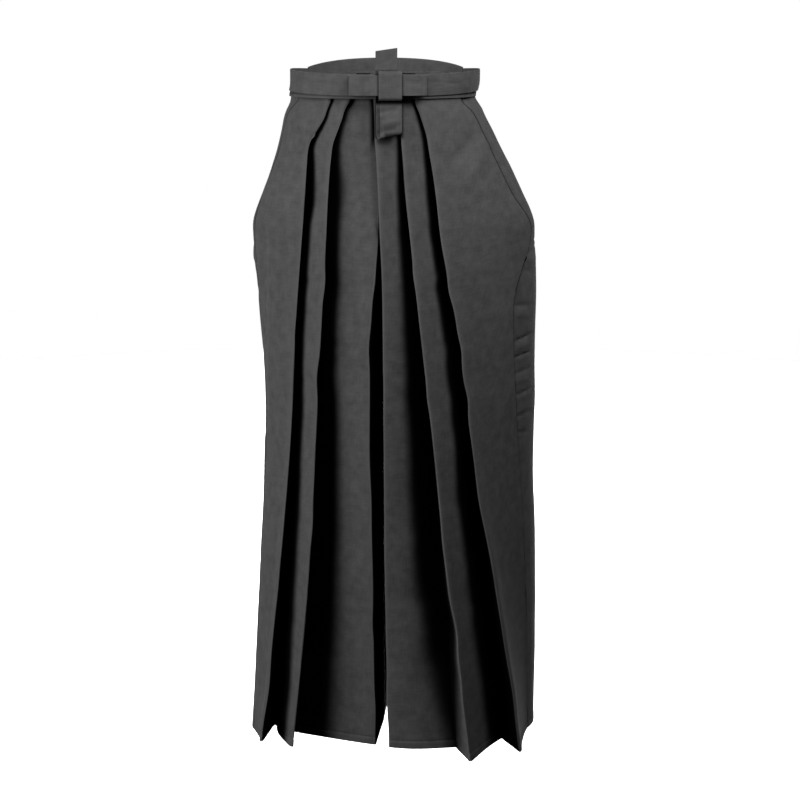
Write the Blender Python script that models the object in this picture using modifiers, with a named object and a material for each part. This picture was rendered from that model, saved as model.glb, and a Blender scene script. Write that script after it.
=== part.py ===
"""Hakama: wide pleated trousers, filled out as if worn, with nobody in them.

Metres, +Z up. The wearer would face -Y, so the wearer's right leg is at -X.
The origin is the middle of the waist, half way up the flat ties.

Each piece of cloth is cut, folded and sewn on the real garment. Here each is
one open surface, lofted from the waist down through level sections. A section
is a line of cloth seen from above: ridges where a pleat's folded edge stands
out, and valleys where the pleat turns back under it. Solidify gives the line
its wall.
"""

import math

import bpy
import numpy as np

MM = 0.001

# Cloth and seams
CLOTH = 1.5 * MM           # wall of a single layer of pressed twill
TIE_CLOTH = 1.6 * MM       # wall of a folded, pressed tie
BOARD = 3.0 * MM           # stiffened board at the back of the waist
SEAM = 0.3 * MM            # space between two pieces that are sewn together
FOLD_RADIUS = 1.6 * MM     # half the space between the layers of a pressed fold

# Upright sizes
CLOTH_TOP = 6.0 * MM       # top of the panels, under the ties
HEM = -968.0 * MM
CROTCH = -450.0 * MM
SLIT_TOP = -120.0 * MM     # the side slit lies overlapped down to here
SLIT_FOOT = -205.0 * MM    # and front and back are sewn together from here down
DROOP_FROM = -700.0 * MM   # folded edges sag a little below here
LEVEL_COUNT = 18
GUSSET_LEVEL_COUNT = 8
LEVEL_CROWDING = 1.25      # above 1 the levels lie closer together near the waist

# Section shape: a superellipse of this power, between an oval and a box
POWER = 2.3

# Every row below has one value, in millimetres, for each of these heights.
#                waist   yoke    seat   flare     hip   thigh    knee    shin     hem
HEIGHTS = (      -24.0,  -45.0, -105.0, -160.0, -215.0, -330.0, -500.0, -720.0, -968.0)

# The garment's outline. Sides are distances from the middle, "ahead" is how far
# in front of the waist's middle a side lies, and reach is front and back depth.
OUTLINE = {
    "right side":  (134.5, 144.5, 160.4, 180.9, 193.5, 186.5, 178.5, 188.6, 202.2),
    "left side":   (133.5, 143.5, 171.9, 200.4, 220.8, 222.4, 220.7, 225.4, 225.5),
    "right ahead": (  0.0,   1.0,   3.0,   5.0,   8.0,  16.0,  26.0,  36.0,  43.0),
    "left ahead":  (  0.0,   1.0,   2.0,   3.0,   4.0,   4.0,   5.0,   5.0,   5.0),
    "front reach": ( 97.5, 101.0, 106.0, 110.0, 114.0, 122.0, 131.0, 141.0, 150.0),
    "back reach":  ( 96.5, 100.0, 106.0, 110.0, 113.0, 114.0, 113.0, 113.0, 115.0),
}

# Folds of the front panel over the wearer's right leg. "at" is the place across
# (X), "in" is how far inside the outline it lies, less than nought where it
# stands proud. A tuck is how far a pleat turns back under its own panel.
RIGHT_FRONT = {
    "side edge at":    (-124.0, -139.0, -155.7, -177.3, -189.9, -184.0, -176.0, -186.0, -199.0),
    "ridge 1 at":      (-75.0, -84.4, -111.8, -115.5, -119.7, -128.5, -137.4, -156.8, -185.1),
    "ridge 1 in":      (1.6, 1.0, 0.0, -2.0, -4.0, -8.0, -12.0, -20.0, -30.0),
    "ridge 1 tuck":    (22.0, 19.0, 15.0, 12.0, 9.0, 6.0, 4.0, -4.0, -15.0),
    "valley 1 in":     (4.8, 9.0, 14.0, 24.0, 30.0, 33.0, 39.0, 48.0, 61.0),
    "ridge 1 shade":   (3.5, 3.5, 13.3, 15.0, 11.5, 12.5, 16.7, 21.7, 33.4),
    "shade 1 in":      (5.6, 5.4, 8.0, 10.0, 11.0, 12.0, 13.0, 14.0, 15.0),
    "ridge 2 at":      (-46.5, -59.0, -77.5, -82.2, -84.9, -91.5, -100.4, -113.3, -137.7),
    "ridge 2 in":      (1.6, 1.0, 0.0, -2.0, -4.0, -8.0, -12.0, -16.0, -20.0),
    "ridge 2 tuck":    (22.0, 19.0, 15.0, 13.0, 11.0, 9.0, 9.0, 10.0, 12.0),
    "valley 2 in":     (10.0, 9.5, 16.0, 25.0, 31.0, 33.5, 39.0, 44.0, 45.0),
    "ridge 2 shade":   (3.5, 4.5, 20.8, 24.3, 18.2, 15.0, 30.0, 36.5, 51.3),
    "shade 2 in":      (9.0, 8.5, 9.5, 10.0, 11.0, 12.0, 14.0, 22.0, 31.0),
    "centre edge at":  (-8.6, -8.6, -8.7, -8.7, -9.7, -19.9, -23.5, -18.8, -15.7),
    "centre edge in":  (8.5, 8.0, 8.5, 7.0, 7.0, 6.0, 6.0, 9.0, 14.0),
}

# Folds of the front panel over the wearer's left leg, from the middle outwards.
LEFT_FRONT = {
    "centre edge at":  (-16.0, -15.2, -12.4, -9.3, -6.7, -3.1, -1.9, 0.0, 5.7),
    "centre edge in":  (1.6, 1.0, 0.0, -1.0, -1.0, -1.0, -1.0, 0.0, 0.0),
    "ridge 1 shade":   (3.5, 3.5, 3.4, 7.0, 13.0, 18.6, 29.5, 37.6, 29.0),
    "shade 1 in":      (6.0, 6.0, 8.0, 9.0, 10.0, 10.0, 7.0, -3.0, -24.0),
    "ridge 1 at":      (18.0, 20.4, 25.2, 29.6, 35.7, 48.5, 68.1, 91.5, 123.9),
    "ridge 1 in":      (1.6, 1.0, 0.0, -4.0, -8.0, -17.0, -28.0, -42.0, -60.0),
    "ridge 1 tuck":    (20.0, 18.0, 15.0, 12.0, 10.0, 8.0, 4.0, -6.0, -20.0),
    "valley 1 in":     (10.2, 9.5, 16.0, 22.0, 26.0, 27.0, 27.0, 20.0, -20.0),
    "ridge 2 shade":   (3.5, 5.6, 9.1, 11.6, 12.8, 17.2, 21.4, 38.6, 46.0),
    "shade 2 in":      (6.0, 6.0, 6.0, 4.0, 2.0, -4.0, -13.0, -24.0, -30.0),
    "ridge 2 at":      (40.5, 49.7, 64.4, 73.0, 79.2, 100.6, 123.1, 159.8, 199.0),
    "ridge 2 in":      (1.6, 1.0, 0.0, -4.0, -8.0, -17.0, -28.0, -48.0, -66.0),
    "ridge 2 tuck":    (20.0, 18.0, 15.0, 12.0, 10.0, 8.0, 4.0, -8.0, -26.0),
    "valley 2 in":     (4.8, 9.0, 15.0, 22.0, 26.0, 25.0, 22.0, 12.0, -5.0),
    "side edge at":    (108.0, 125.7, 154.8, 183.1, 212.7, 185.1, 193.0, 207.1, 214.3),
}

# Where the two legs' panels meet, between the pleats of the middle. Below the
# crotch the "parting" is half the space between the two inner legs.
INNER = {
    "front seam at":    (3.0, 3.0, 2.0, 0.0, -3.0, -6.0, -4.0, -1.5, 0.6),
    "front seam in":    (8.0, 9.0, 14.0, 22.0, 32.0, 56.0, 92.0, 112.0, 130.0),
    "front seam step":  (2.4, 2.0, 1.5, 0.8, 0.0, 0.0, 0.0, 0.0, 0.0),
    "back seam at":     (0.0, 0.0, 0.0, 0.0, 0.0, 0.0, 0.5, 3.0, 5.0),
    "back seam in":     (4.0, 5.0, 8.0, 14.0, 22.0, 34.0, 50.0, 60.0, 65.0),
    "parting":          (0.95, 0.95, 0.95, 0.95, 0.95, 0.95, 2.0, 4.5, 6.9),
}

# Folds of each back panel, as distances outwards from the middle.
BACK = {
    "ridge at":        (26.0, 28.0, 34.0, 40.0, 46.0, 58.0, 70.0, 82.0, 92.0),
    "ridge in":        (1.6, 1.0, 0.0, -2.0, -4.0, -7.0, -10.0, -13.0, -16.0),
    "ridge tuck":      (18.0, 17.0, 15.0, 12.0, 10.0, 8.0, 6.0, 5.0, 4.0),
    "valley in":       (4.8, 8.0, 12.0, 17.0, 21.0, 28.0, 34.0, 40.0, 44.0),
    "ridge shade":     (3.5, 4.0, 8.0, 12.0, 14.0, 18.0, 22.0, 26.0, 30.0),
    "shade in":        (5.6, 6.0, 7.0, 9.0, 10.0, 11.0, 12.0, 14.0, 16.0),
    "centre edge at":  (5.0, 5.0, 5.0, 5.0, 6.0, 7.0, 9.0, 12.0, 14.0),
    "centre edge in":  (3.0, 3.0, 3.0, 3.0, 3.0, 3.0, 3.0, 3.0, 3.0),
}

# How far each folded edge sags at the hem, in millimetres
SAG = {"right 1": -4.0, "right 2": -5.0, "centre": -1.0, "left": -8.0, "back": -3.0}

# Steps along a section: over an outer panel, and into a pleat and out again
SIDE_STEPS = 7
BACK_STEPS = 11
TUCK_STEPS = 4
CENTRE_TUCK_STEPS = 5
BACK_TUCK_STEPS = 3

# Side slit. The edges lie overlapped down to half way, then part to its foot.
SLIT_OVERLAP = 8.0 * MM     # how far the back panel runs on under the front one
SLIT_DEPTH = 4.5 * MM       # how deep it lies there
SLIT_TAPER = 0.25           # share of the back panel over which it comes out again
SLIT_EASE = 2.0 * MM        # space between the edges just above the slit's foot
SLIT_CLOSING = 0.25         # share of the slit, from its foot, where that space closes

# The gusset meets the panels at an angle, so it stops this many seams short
GUSSET_EASE = 1.7

# Ties and board. An outset is measured from the cloth of the waist outwards.
TIE_WIDTH = 31.0 * MM
TIE_EASE = 0.5 * MM           # space between the pleats and the tie that binds them
FRONT_TIE_OUTSET = CLOTH / 2 + TIE_EASE + TIE_CLOTH / 2
BACK_TIE_OUTSET = FRONT_TIE_OUTSET + TIE_CLOTH + SEAM
BOARD_OUTSET = FRONT_TIE_OUTSET + TIE_CLOTH / 2 + SEAM + BOARD / 2
FRONT_TIE_FOOT = -22.5 * MM
BACK_TIE_FOOT = -18.5 * MM
BACK_TIE_RISE = 4.0 * MM      # the upper tie climbs this much from front to side
BOARD_FOOT = -26.0 * MM
BOARD_FOOT_RISE = 7.5 * MM    # the board's lower corners lie this much higher
BOARD_END_TOP = 16.5 * MM
BOARD_CROWN = 12.5 * MM       # rise of the board's top edge at the middle
TIE_STEPS = 60                # steps of a whole turn round the waist
BOARD_STEPS = 9               # steps of that turn from the board's middle to its end
BOARD_HALF_ANGLE = 2 * math.pi * BOARD_STEPS / TIE_STEPS

# Bow: a flat cross of the tie's two ends, a little left of the wearer's middle.
# Its layers lie on one another, each a wall and a seam's space further out.
BOW_LAYER = TIE_CLOTH + SEAM
BOW_END_OUTSET = BACK_TIE_OUTSET + BOW_LAYER
KNOT_NEAR_OUTSET = BOW_END_OUTSET + BOW_LAYER
LOOPS_NEAR_OUTSET = KNOT_NEAR_OUTSET + BOW_LAYER
LOOP_FILL = 5.2 * MM          # space between the two layers of a loop
LOOPS_FROM = -51.0 * MM
LOOPS_TO = 59.0 * MM
LOOPS_FOOT = -17.5 * MM
LOOPS_HEIGHT = 29.0 * MM
LOOP_STEPS = 8                # steps of a loop's long side
KNOT_FROM = -9.0 * MM
KNOT_TO = 24.0 * MM
KNOT_FOOT = -23.5 * MM
KNOT_TOP = 16.5 * MM
KNOT_STEPS = 6
CORNER_SHARE = 0.9            # roundness of a flat ring's corners, 1 for half circles

# The bow's end stands up behind the knot, hangs down behind it, turns at its
# foot and comes up again under the knot. "out" is how far it lies off the upper
# tie, and "middle" is where its own middle lies across. All are millimetres.
#                height    out  middle
BOW_END_DOWN = (( 47.5,    2.5,    2.0),
                ( 30.0,    0.6,    2.0),
                ( 16.0,    0.0,    2.0),
                (-20.0,    0.0,    2.5),
                (-45.0,    1.6,    3.0))
BOW_END_UP = ((-50.0,   10.8,    8.5),
              (-26.5,    9.8,    8.5))
END_SLANT = 4.5 * MM          # the cut end is higher at the wearer's left
END_FOOT = -75.0              # the foot of the turn, in millimetres
END_TURN_OUT = 4.0
END_TURN_RADIUS = 3.2
END_TURN_SHIFT = (3.5, 8.3)   # where the middle lies before and after the turn
END_TURN_STEPS = 6
ACROSS_STEPS = 4              # steps across the width of the bow's end


def smooth_row(values):
    """Give a function of height that runs smoothly through one table row."""
    down = -np.array(HEIGHTS) * MM
    row = np.array(values) * MM
    gap = np.diff(down)
    rise = np.diff(row) / gap
    slope = np.zeros(len(row))
    for i in range(1, len(row) - 1):
        if rise[i - 1] * rise[i] > 0:
            near = 2 * gap[i] + gap[i - 1]
            far = gap[i] + 2 * gap[i - 1]
            slope[i] = (near + far) / (near / rise[i - 1] + far / rise[i])
    slope[-1] = rise[-1]

    def at(z):
        depth = min(max(-z, down[0]), down[-1])
        i = min(int(np.searchsorted(down, depth, side="right")) - 1, len(gap) - 1)
        t = (depth - down[i]) / gap[i]
        start = (1 + 2 * t) * (1 - t) ** 2 * row[i] + t * (1 - t) ** 2 * gap[i] * slope[i]
        finish = t * t * (3 - 2 * t) * row[i + 1] - t * t * (1 - t) * gap[i] * slope[i + 1]
        return float(start + finish)

    return at


def smooth_table(table):
    return {name: smooth_row(values) for name, values in table.items()}


outline = smooth_table(OUTLINE)
right_front = smooth_table(RIGHT_FRONT)
left_front = smooth_table(LEFT_FRONT)
inner = smooth_table(INNER)
back = smooth_table(BACK)


def side_sizes(z, x):
    """Half width and side place of the outline, on the side where x lies."""
    side = "left" if x > 0 else "right"
    return outline[side + " side"](z), -outline[side + " ahead"](z)


def outline_y(z, x, name):
    """Y of the outline's front or back at x."""
    half, side_y = side_sizes(z, x)
    reach = outline[name + " reach"](z) * (-1 if name == "front" else 1)
    share = max(0.0, 1 - min(1.0, abs(x) / half) ** POWER) ** (1 / POWER)
    return side_y + (reach - side_y) * share


def around(z, angle, outset=0.0):
    """A point of the outline. Angle 0 is the front, half a turn is the back."""
    sine, cosine = math.sin(angle), math.cos(angle)
    half, side_y = side_sizes(z, sine)
    name = "front" if cosine > 0 else "back"
    reach = outline[name + " reach"](z) + outset
    x = math.copysign((half + outset) * abs(sine) ** (2 / POWER), sine)
    y = side_y + (-reach - side_y if cosine > 0 else reach - side_y) * abs(cosine) ** (2 / POWER)
    return x, y


def angle_at(z, x, name):
    """The outline's angle where its front or back crosses x."""
    half, _ = side_sizes(z, x)
    turn = math.asin(min(1.0, abs(x) / half) ** (POWER / 2))
    if name == "back":
        turn = math.pi - turn
    return math.copysign(turn, x)


def place(z, x, inside, name, edge=""):
    """A section point: x, y and how far it sags at the hem, if it is a folded edge."""
    toward_middle = 1 if name == "front" else -1
    return np.array([x, outline_y(z, x, name) + toward_middle * inside, SAG.get(edge, 0.0) * MM])


def fold(before, tip, after, radius=FOLD_RADIUS):
    """Three points that round a folded edge, so that its two layers lie apart."""
    to_before = (before - tip)[:2] / np.linalg.norm((before - tip)[:2])
    to_after = (after - tip)[:2] / np.linalg.norm((after - tip)[:2])
    middle = to_before + to_after
    half_open = math.acos(max(-1.0, min(1.0, float(to_before @ to_after)))) / 2
    across = to_before - to_after
    across = across / np.linalg.norm(across)
    if np.linalg.norm(middle) > 0:
        middle = middle / np.linalg.norm(middle)
    shoulder = middle * radius * math.cos(half_open)
    first = np.append(tip[:2] + shoulder + across * radius, tip[2])
    last = np.append(tip[:2] + shoulder - across * radius, tip[2])
    return [first, tip, last]


def bowed(start, through, end, count):
    """Points between start and end, on one smooth curve through a middle point."""
    first = np.linalg.norm(through - start)
    second = np.linalg.norm(end - through)
    at = min(0.65, max(0.35, first / (first + second)))
    points = []
    for i in range(1, count + 1):
        u = i / (count + 1)
        points.append(start * (u - at) * (u - 1) / at
                      + through * u * (u - 1) / (at * (at - 1))
                      + end * u * (u - at) / (1 - at))
    return points


def straight(start, end, count):
    return [start + (end - start) * i / (count + 1) for i in range(1, count + 1)]


def side_span(z, ridge_at, ridge_in, edge_at):
    """Points of the outer panel, from its ridge to just before its side edge."""
    points = []
    for i in range(1, SIDE_STEPS):
        t = math.sin(math.pi / 2 * i / SIDE_STEPS)
        x = ridge_at + (edge_at - ridge_at) * t
        points.append(place(z, x, ridge_in * (1 - t) ** 2, "front"))
    return points


def right_front_section(z):
    """Front panel of the wearer's right leg, from its side edge to the middle."""
    row = {name: at(z) for name, at in right_front.items()}
    ridge_1 = place(z, row["ridge 1 at"], row["ridge 1 in"], "front", "right 1")
    valley_1 = place(z, row["ridge 1 at"] - row["ridge 1 tuck"], row["valley 1 in"], "front")
    shade_1 = place(z, row["ridge 1 at"] + row["ridge 1 shade"], row["shade 1 in"], "front")
    ridge_2 = place(z, row["ridge 2 at"], row["ridge 2 in"], "front", "right 2")
    valley_2 = place(z, row["ridge 2 at"] - row["ridge 2 tuck"], row["valley 2 in"], "front")
    shade_2 = place(z, row["ridge 2 at"] + row["ridge 2 shade"], row["shade 2 in"], "front")
    centre = place(z, row["centre edge at"], row["centre edge in"], "front", "centre")
    seam_at = inner["front seam at"](z) - inner["parting"](z)
    seam_in = inner["front seam in"](z) + inner["front seam step"](z)
    seam = place(z, seam_at, seam_in, "front")
    span = side_span(z, row["ridge 1 at"], row["ridge 1 in"], row["side edge at"])
    points = [place(z, row["side edge at"], 0, "front")] + span[::-1]
    points += fold(points[-1], ridge_1, valley_1)
    turn_in = fold(ridge_1, valley_1, shade_1)
    turn_out = fold(shade_1, ridge_2, valley_2)
    points += turn_in + bowed(turn_in[-1], shade_1, turn_out[0], TUCK_STEPS) + turn_out
    turn_in = fold(ridge_2, valley_2, shade_2)
    turn_out = fold(shade_2, centre, seam)
    points += turn_in + bowed(turn_in[-1], shade_2, turn_out[0], CENTRE_TUCK_STEPS) + turn_out
    return points + straight(turn_out[-1], seam, 2) + [seam]


def left_front_section(z):
    """Front panel of the wearer's left leg, from the middle to its side edge."""
    row = {name: at(z) for name, at in left_front.items()}
    seam_at = inner["front seam at"](z) + inner["parting"](z)
    seam = place(z, seam_at, inner["front seam in"](z), "front")
    centre = place(z, row["centre edge at"], row["centre edge in"], "front", "centre")
    shade_1 = place(z, row["ridge 1 at"] - row["ridge 1 shade"], row["shade 1 in"], "front")
    ridge_1 = place(z, row["ridge 1 at"], row["ridge 1 in"], "front", "left")
    valley_1 = place(z, row["ridge 1 at"] + row["ridge 1 tuck"], row["valley 1 in"], "front")
    shade_2 = place(z, row["ridge 2 at"] - row["ridge 2 shade"], row["shade 2 in"], "front")
    ridge_2 = place(z, row["ridge 2 at"], row["ridge 2 in"], "front", "left")
    valley_2 = place(z, row["ridge 2 at"] + row["ridge 2 tuck"], row["valley 2 in"], "front")
    turn_out = fold(seam, centre, shade_1)
    turn_in = fold(shade_1, valley_1, ridge_1)
    points = [seam] + straight(seam, turn_out[0], 2) + turn_out
    points += bowed(turn_out[-1], shade_1, turn_in[0], CENTRE_TUCK_STEPS) + turn_in
    turn_out = fold(valley_1, ridge_1, shade_2)
    turn_in = fold(shade_2, valley_2, ridge_2)
    points += turn_out + bowed(turn_out[-1], shade_2, turn_in[0], TUCK_STEPS) + turn_in
    span = side_span(z, row["ridge 2 at"], row["ridge 2 in"], row["side edge at"])
    points += fold(valley_2, ridge_2, span[0]) + span
    return points + [place(z, row["side edge at"], 0, "front")]


def slit_share(z):
    """1 where the side slit lies overlapped, 0 from its foot down."""
    return min(1.0, max(0.0, (z - SLIT_FOOT) / (SLIT_TOP - SLIT_FOOT)))


def back_section(z, side):
    """Back panel of one leg, side -1 or 1, from the side seam to the middle."""
    row = {name: at(z) for name, at in back.items()}
    edge_at = (left_front if side > 0 else right_front)["side edge at"](z)
    start = angle_at(z, edge_at, "front")
    share = slit_share(z)
    parted = SEAM + SLIT_EASE * min(1.0, share / SLIT_CLOSING)
    overlap = (SLIT_OVERLAP + parted) * max(0.0, 2 * share - 1) - parted
    small_turn = 0.01
    pace = math.dist(around(z, start), around(z, start + side * small_turn)) / small_turn
    start -= side * overlap / pace
    ridge = place(z, side * row["ridge at"], row["ridge in"], "back", "back")
    valley = place(z, side * (row["ridge at"] + row["ridge tuck"]), row["valley in"], "back")
    shade_at = side * (row["ridge at"] - row["ridge shade"])
    shade = place(z, shade_at, row["shade in"], "back")
    centre = place(z, side * row["centre edge at"], row["centre edge in"], "back", "centre")
    seam_at = inner["back seam at"](z) + side * inner["parting"](z)
    seam = place(z, seam_at, inner["back seam in"](z), "back")
    finish = angle_at(z, side * row["ridge at"], "back")
    points = []
    for i in range(BACK_STEPS):
        t = i / BACK_STEPS
        tucked = SLIT_DEPTH * share * max(0.0, 1 - t / SLIT_TAPER)
        proud = row["ridge in"] * t ** 3
        x, y = around(z, start + (finish - start) * t, -tucked)
        points.append(np.array([x, y - proud, 0.0]))
    turn_out = fold(points[-1], ridge, valley)
    turn_in = fold(ridge, valley, shade)
    turn_end = fold(shade, centre, seam)
    points += turn_out + turn_in + bowed(turn_in[-1], shade, turn_end[0], BACK_TUCK_STEPS)
    return points + turn_end + straight(turn_end[-1], seam, 1) + [seam]


def gusset_section(z, side):
    """Inner leg between the front and back panels, side -1 or 1."""
    parting = side * inner["parting"](z)
    front = place(z, inner["front seam at"](z) + parting, inner["front seam in"](z), "front")
    rear = place(z, inner["back seam at"](z) + parting, inner["back seam in"](z), "back")
    along = (rear - front) / np.linalg.norm(rear - front)
    first = front + along * SEAM * GUSSET_EASE
    last = rear - along * SEAM * GUSSET_EASE
    return [first] + straight(first, last, 2) + [last]


def droop(z):
    """How much of its sag a folded edge shows at this height."""
    return max(0.0, (DROOP_FROM - z) / (DROOP_FROM - HEM)) ** 2


def levels(top, count):
    """Heights of the sections, closer together near the top."""
    return [top - (top - HEM) * (i / count) ** LEVEL_CROWDING for i in range(count + 1)]


def cloth_material(name, colour, roughness):
    """Matt cloth of one colour."""
    material = bpy.data.materials.new(name)
    material.use_nodes = True
    shader = material.node_tree.nodes["Principled BSDF"]
    shader.inputs["Base Color"].default_value = (*colour, 1.0)
    shader.inputs["Roughness"].default_value = roughness
    shader.inputs["Metallic"].default_value = 0.0
    return material


def add_cloth(name, rows, thickness, colour, roughness, closed=False):
    """One piece of cloth: a grid of points, given a wall on both sides of it."""
    width = len(rows[0])
    points = [tuple(point) for row in rows for point in row]
    faces = []
    for i in range(len(rows) - 1):
        for j in range(width if closed else width - 1):
            k = (j + 1) % width
            faces.append((i * width + j, i * width + k, (i + 1) * width + k, (i + 1) * width + j))
    mesh = bpy.data.meshes.new(name)
    mesh.from_pydata(points, [], faces)
    mesh.shade_smooth()
    mesh.materials.append(cloth_material(name + " cloth", colour, roughness))
    piece = bpy.data.objects.new(name, mesh)
    garment.objects.link(piece)
    wall = piece.modifiers.new("Wall", "SOLIDIFY")
    wall.thickness = thickness
    wall.offset = 0.0
    wall.use_even_offset = True
    return piece


def hang(section, heights):
    """Level sections of one panel, from its top to the hem."""
    rows = []
    for z in heights:
        rows.append([(x, y, z + sag * droop(z)) for x, y, sag in section(z)])
    return rows


def waist_point(angle, outset, z):
    x, y = around(min(z, CLOTH_TOP), angle, outset)
    return x, y, z


def tie_rows(angles, outset, foot, rise):
    """Foot and top rows of a flat tie that lies round the waist."""
    low = []
    high = []
    for angle in angles:
        lift = rise * min(1.0, abs(math.sin(angle))) ** 3
        low.append(waist_point(angle, outset, foot + lift))
        high.append(waist_point(angle, outset, foot + TIE_WIDTH + lift))
    return [low, high]


def board_rows(angles):
    """Foot and top rows of the board, whose top edge is one low arc."""
    low = []
    high = []
    for angle in angles:
        off_middle = (abs(angle) - math.pi) / BOARD_HALF_ANGLE
        crown = BOARD_CROWN * (1 - off_middle ** 2)
        foot = BOARD_FOOT + BOARD_FOOT_RISE * off_middle ** 4
        low.append(waist_point(angle, BOARD_OUTSET, foot))
        high.append(waist_point(angle, BOARD_OUTSET, BOARD_END_TOP + crown))
    return [low, high]


def front_of_waist(x, outset):
    """Y of the waist's front at x, moved out."""
    angle = angle_at(CLOTH_TOP, x, "front") if x else 0.0
    return around(CLOTH_TOP, angle, outset)[1]


def rounded_ring(near, far, low, high, corner_steps):
    """Points round a flat ring with rounded corners: outset, and place between low and high."""
    radius = CORNER_SHARE * min(far - near, high - low) / 2
    centres = ((near + radius, low + radius, 180), (far - radius, low + radius, 270),
               (far - radius, high - radius, 0), (near + radius, high - radius, 90))
    ring = []
    for outset, height, start in centres:
        for i in range(corner_steps + 1):
            turn = math.radians(start + 90 * i / corner_steps)
            ring.append((outset + radius * math.cos(turn), height + radius * math.sin(turn)))
    return ring


def add_loops(colour, roughness):
    """The bow's two side loops, one flat ring of tie that lies across the front."""
    plan = rounded_ring(LOOPS_NEAR_OUTSET, LOOPS_NEAR_OUTSET + LOOP_FILL, LOOPS_FROM, LOOPS_TO, 3)
    ring = []
    for i, (outset, x) in enumerate(plan):
        ring.append((outset, x))
        after_outset, after_x = plan[(i + 1) % len(plan)]
        if abs(after_x - x) > TIE_WIDTH:
            for k in range(1, LOOP_STEPS):
                t = k / LOOP_STEPS
                ring.append((outset + (after_outset - outset) * t, x + (after_x - x) * t))
    rows = []
    for height in (LOOPS_FOOT, LOOPS_FOOT + LOOPS_HEIGHT):
        rows.append([(x, front_of_waist(x, outset), height) for outset, x in ring])
    add_cloth("bow_loops", rows, TIE_CLOTH, colour, roughness, closed=True)


def add_knot(colour, roughness):
    """The band of tie that is wrapped round the middle of the loops."""
    far = LOOPS_NEAR_OUTSET + LOOP_FILL + BOW_LAYER
    ring = rounded_ring(KNOT_NEAR_OUTSET, far, KNOT_FOOT, KNOT_TOP, 4)
    rows = []
    for i in range(KNOT_STEPS + 1):
        x = KNOT_FROM + (KNOT_TO - KNOT_FROM) * i / KNOT_STEPS
        rows.append([(x, front_of_waist(x, outset), height) for outset, height in ring])
    add_cloth("bow_knot", rows, TIE_CLOTH, colour, roughness, closed=True)


def add_bow_end(colour, roughness):
    """The tie's end, which stands up above the knot and hangs in a loop below it."""
    route = list(BOW_END_DOWN)
    for i in range(END_TURN_STEPS + 1):
        t = i / END_TURN_STEPS
        turn = math.pi * (1 + t)
        route.append((END_FOOT + END_TURN_RADIUS * (1 + math.sin(turn)),
                      END_TURN_OUT + END_TURN_RADIUS * (1 + math.cos(turn)),
                      END_TURN_SHIFT[0] + (END_TURN_SHIFT[1] - END_TURN_SHIFT[0]) * t))
    route += BOW_END_UP
    rows = []
    for place_on_route, (height, out, middle) in enumerate(route):
        slant = END_SLANT if place_on_route == 0 else 0.0
        row = []
        for i in range(ACROSS_STEPS + 1):
            off_middle = i / ACROSS_STEPS - 0.5
            x = middle * MM + TIE_WIDTH * off_middle
            y = front_of_waist(x, BOW_END_OUTSET + out * MM)
            row.append((x, y, height * MM + slant * off_middle))
        rows.append(row)
    add_cloth("bow_end", rows, TIE_CLOTH, colour, roughness)


def build():
    """Every piece, in black cloth. The pressed ties are a shade darker and smoother."""
    cloth = (0.030, 0.030, 0.031)
    pressed = (0.026, 0.026, 0.027)
    matt = 0.82
    tie_matt = 0.78

    panel_heights = [CLOTH_TOP] + levels(HEIGHTS[0] * MM, LEVEL_COUNT)
    gusset_heights = levels(CROTCH, GUSSET_LEVEL_COUNT)
    add_cloth("front_right", hang(right_front_section, panel_heights), CLOTH, cloth, matt)
    add_cloth("front_left", hang(left_front_section, panel_heights), CLOTH, cloth, matt)
    for side, name in ((-1, "right"), (1, "left")):
        rows = hang(lambda z, side=side: back_section(z, side), panel_heights)
        add_cloth("back_" + name, rows, CLOTH, cloth, matt)
        rows = hang(lambda z, side=side: gusset_section(z, side), gusset_heights)
        add_cloth("gusset_" + name, rows, CLOTH, cloth, matt)

    # Ties and board share one set of angles, so that their layers lie parallel
    step = 2 * math.pi / TIE_STEPS
    rows = tie_rows([step * i - math.pi for i in range(TIE_STEPS)],
                    FRONT_TIE_OUTSET, FRONT_TIE_FOOT, 0.0)
    add_cloth("front_tie", rows, TIE_CLOTH, pressed, tie_matt, closed=True)
    board_angles = [math.pi + step * i for i in range(-BOARD_STEPS, BOARD_STEPS + 1)]
    add_cloth("koshi_board", board_rows(board_angles), BOARD, pressed, tie_matt)
    end = TIE_STEPS // 2 - BOARD_STEPS
    short = 2 * SEAM / outline["back reach"](0.0)
    tie_angles = [step * i for i in range(1 - end, end)]
    tie_angles = [short - step * end] + tie_angles + [step * end - short]
    rows = tie_rows(tie_angles, BACK_TIE_OUTSET, BACK_TIE_FOOT, BACK_TIE_RISE)
    add_cloth("back_tie", rows, TIE_CLOTH, pressed, tie_matt)

    add_loops(pressed, tie_matt)
    add_knot(pressed, tie_matt)
    add_bow_end(pressed, tie_matt)


for old in list(bpy.data.objects):
    bpy.data.objects.remove(old, do_unlink=True)
garment = bpy.data.collections.new("hakama trousers")
bpy.context.scene.collection.children.link(garment)
build()
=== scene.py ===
# %% [markdown]
# # Pleated black trousers with a tied waist
# These are wide wrapped trousers of black twill. Their pleats are pressed sharp, and the
# whole hangs from flat ties. The lesson drapes a thin, creased shell over each solid of the
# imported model, then lights it as a studio would.

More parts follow.
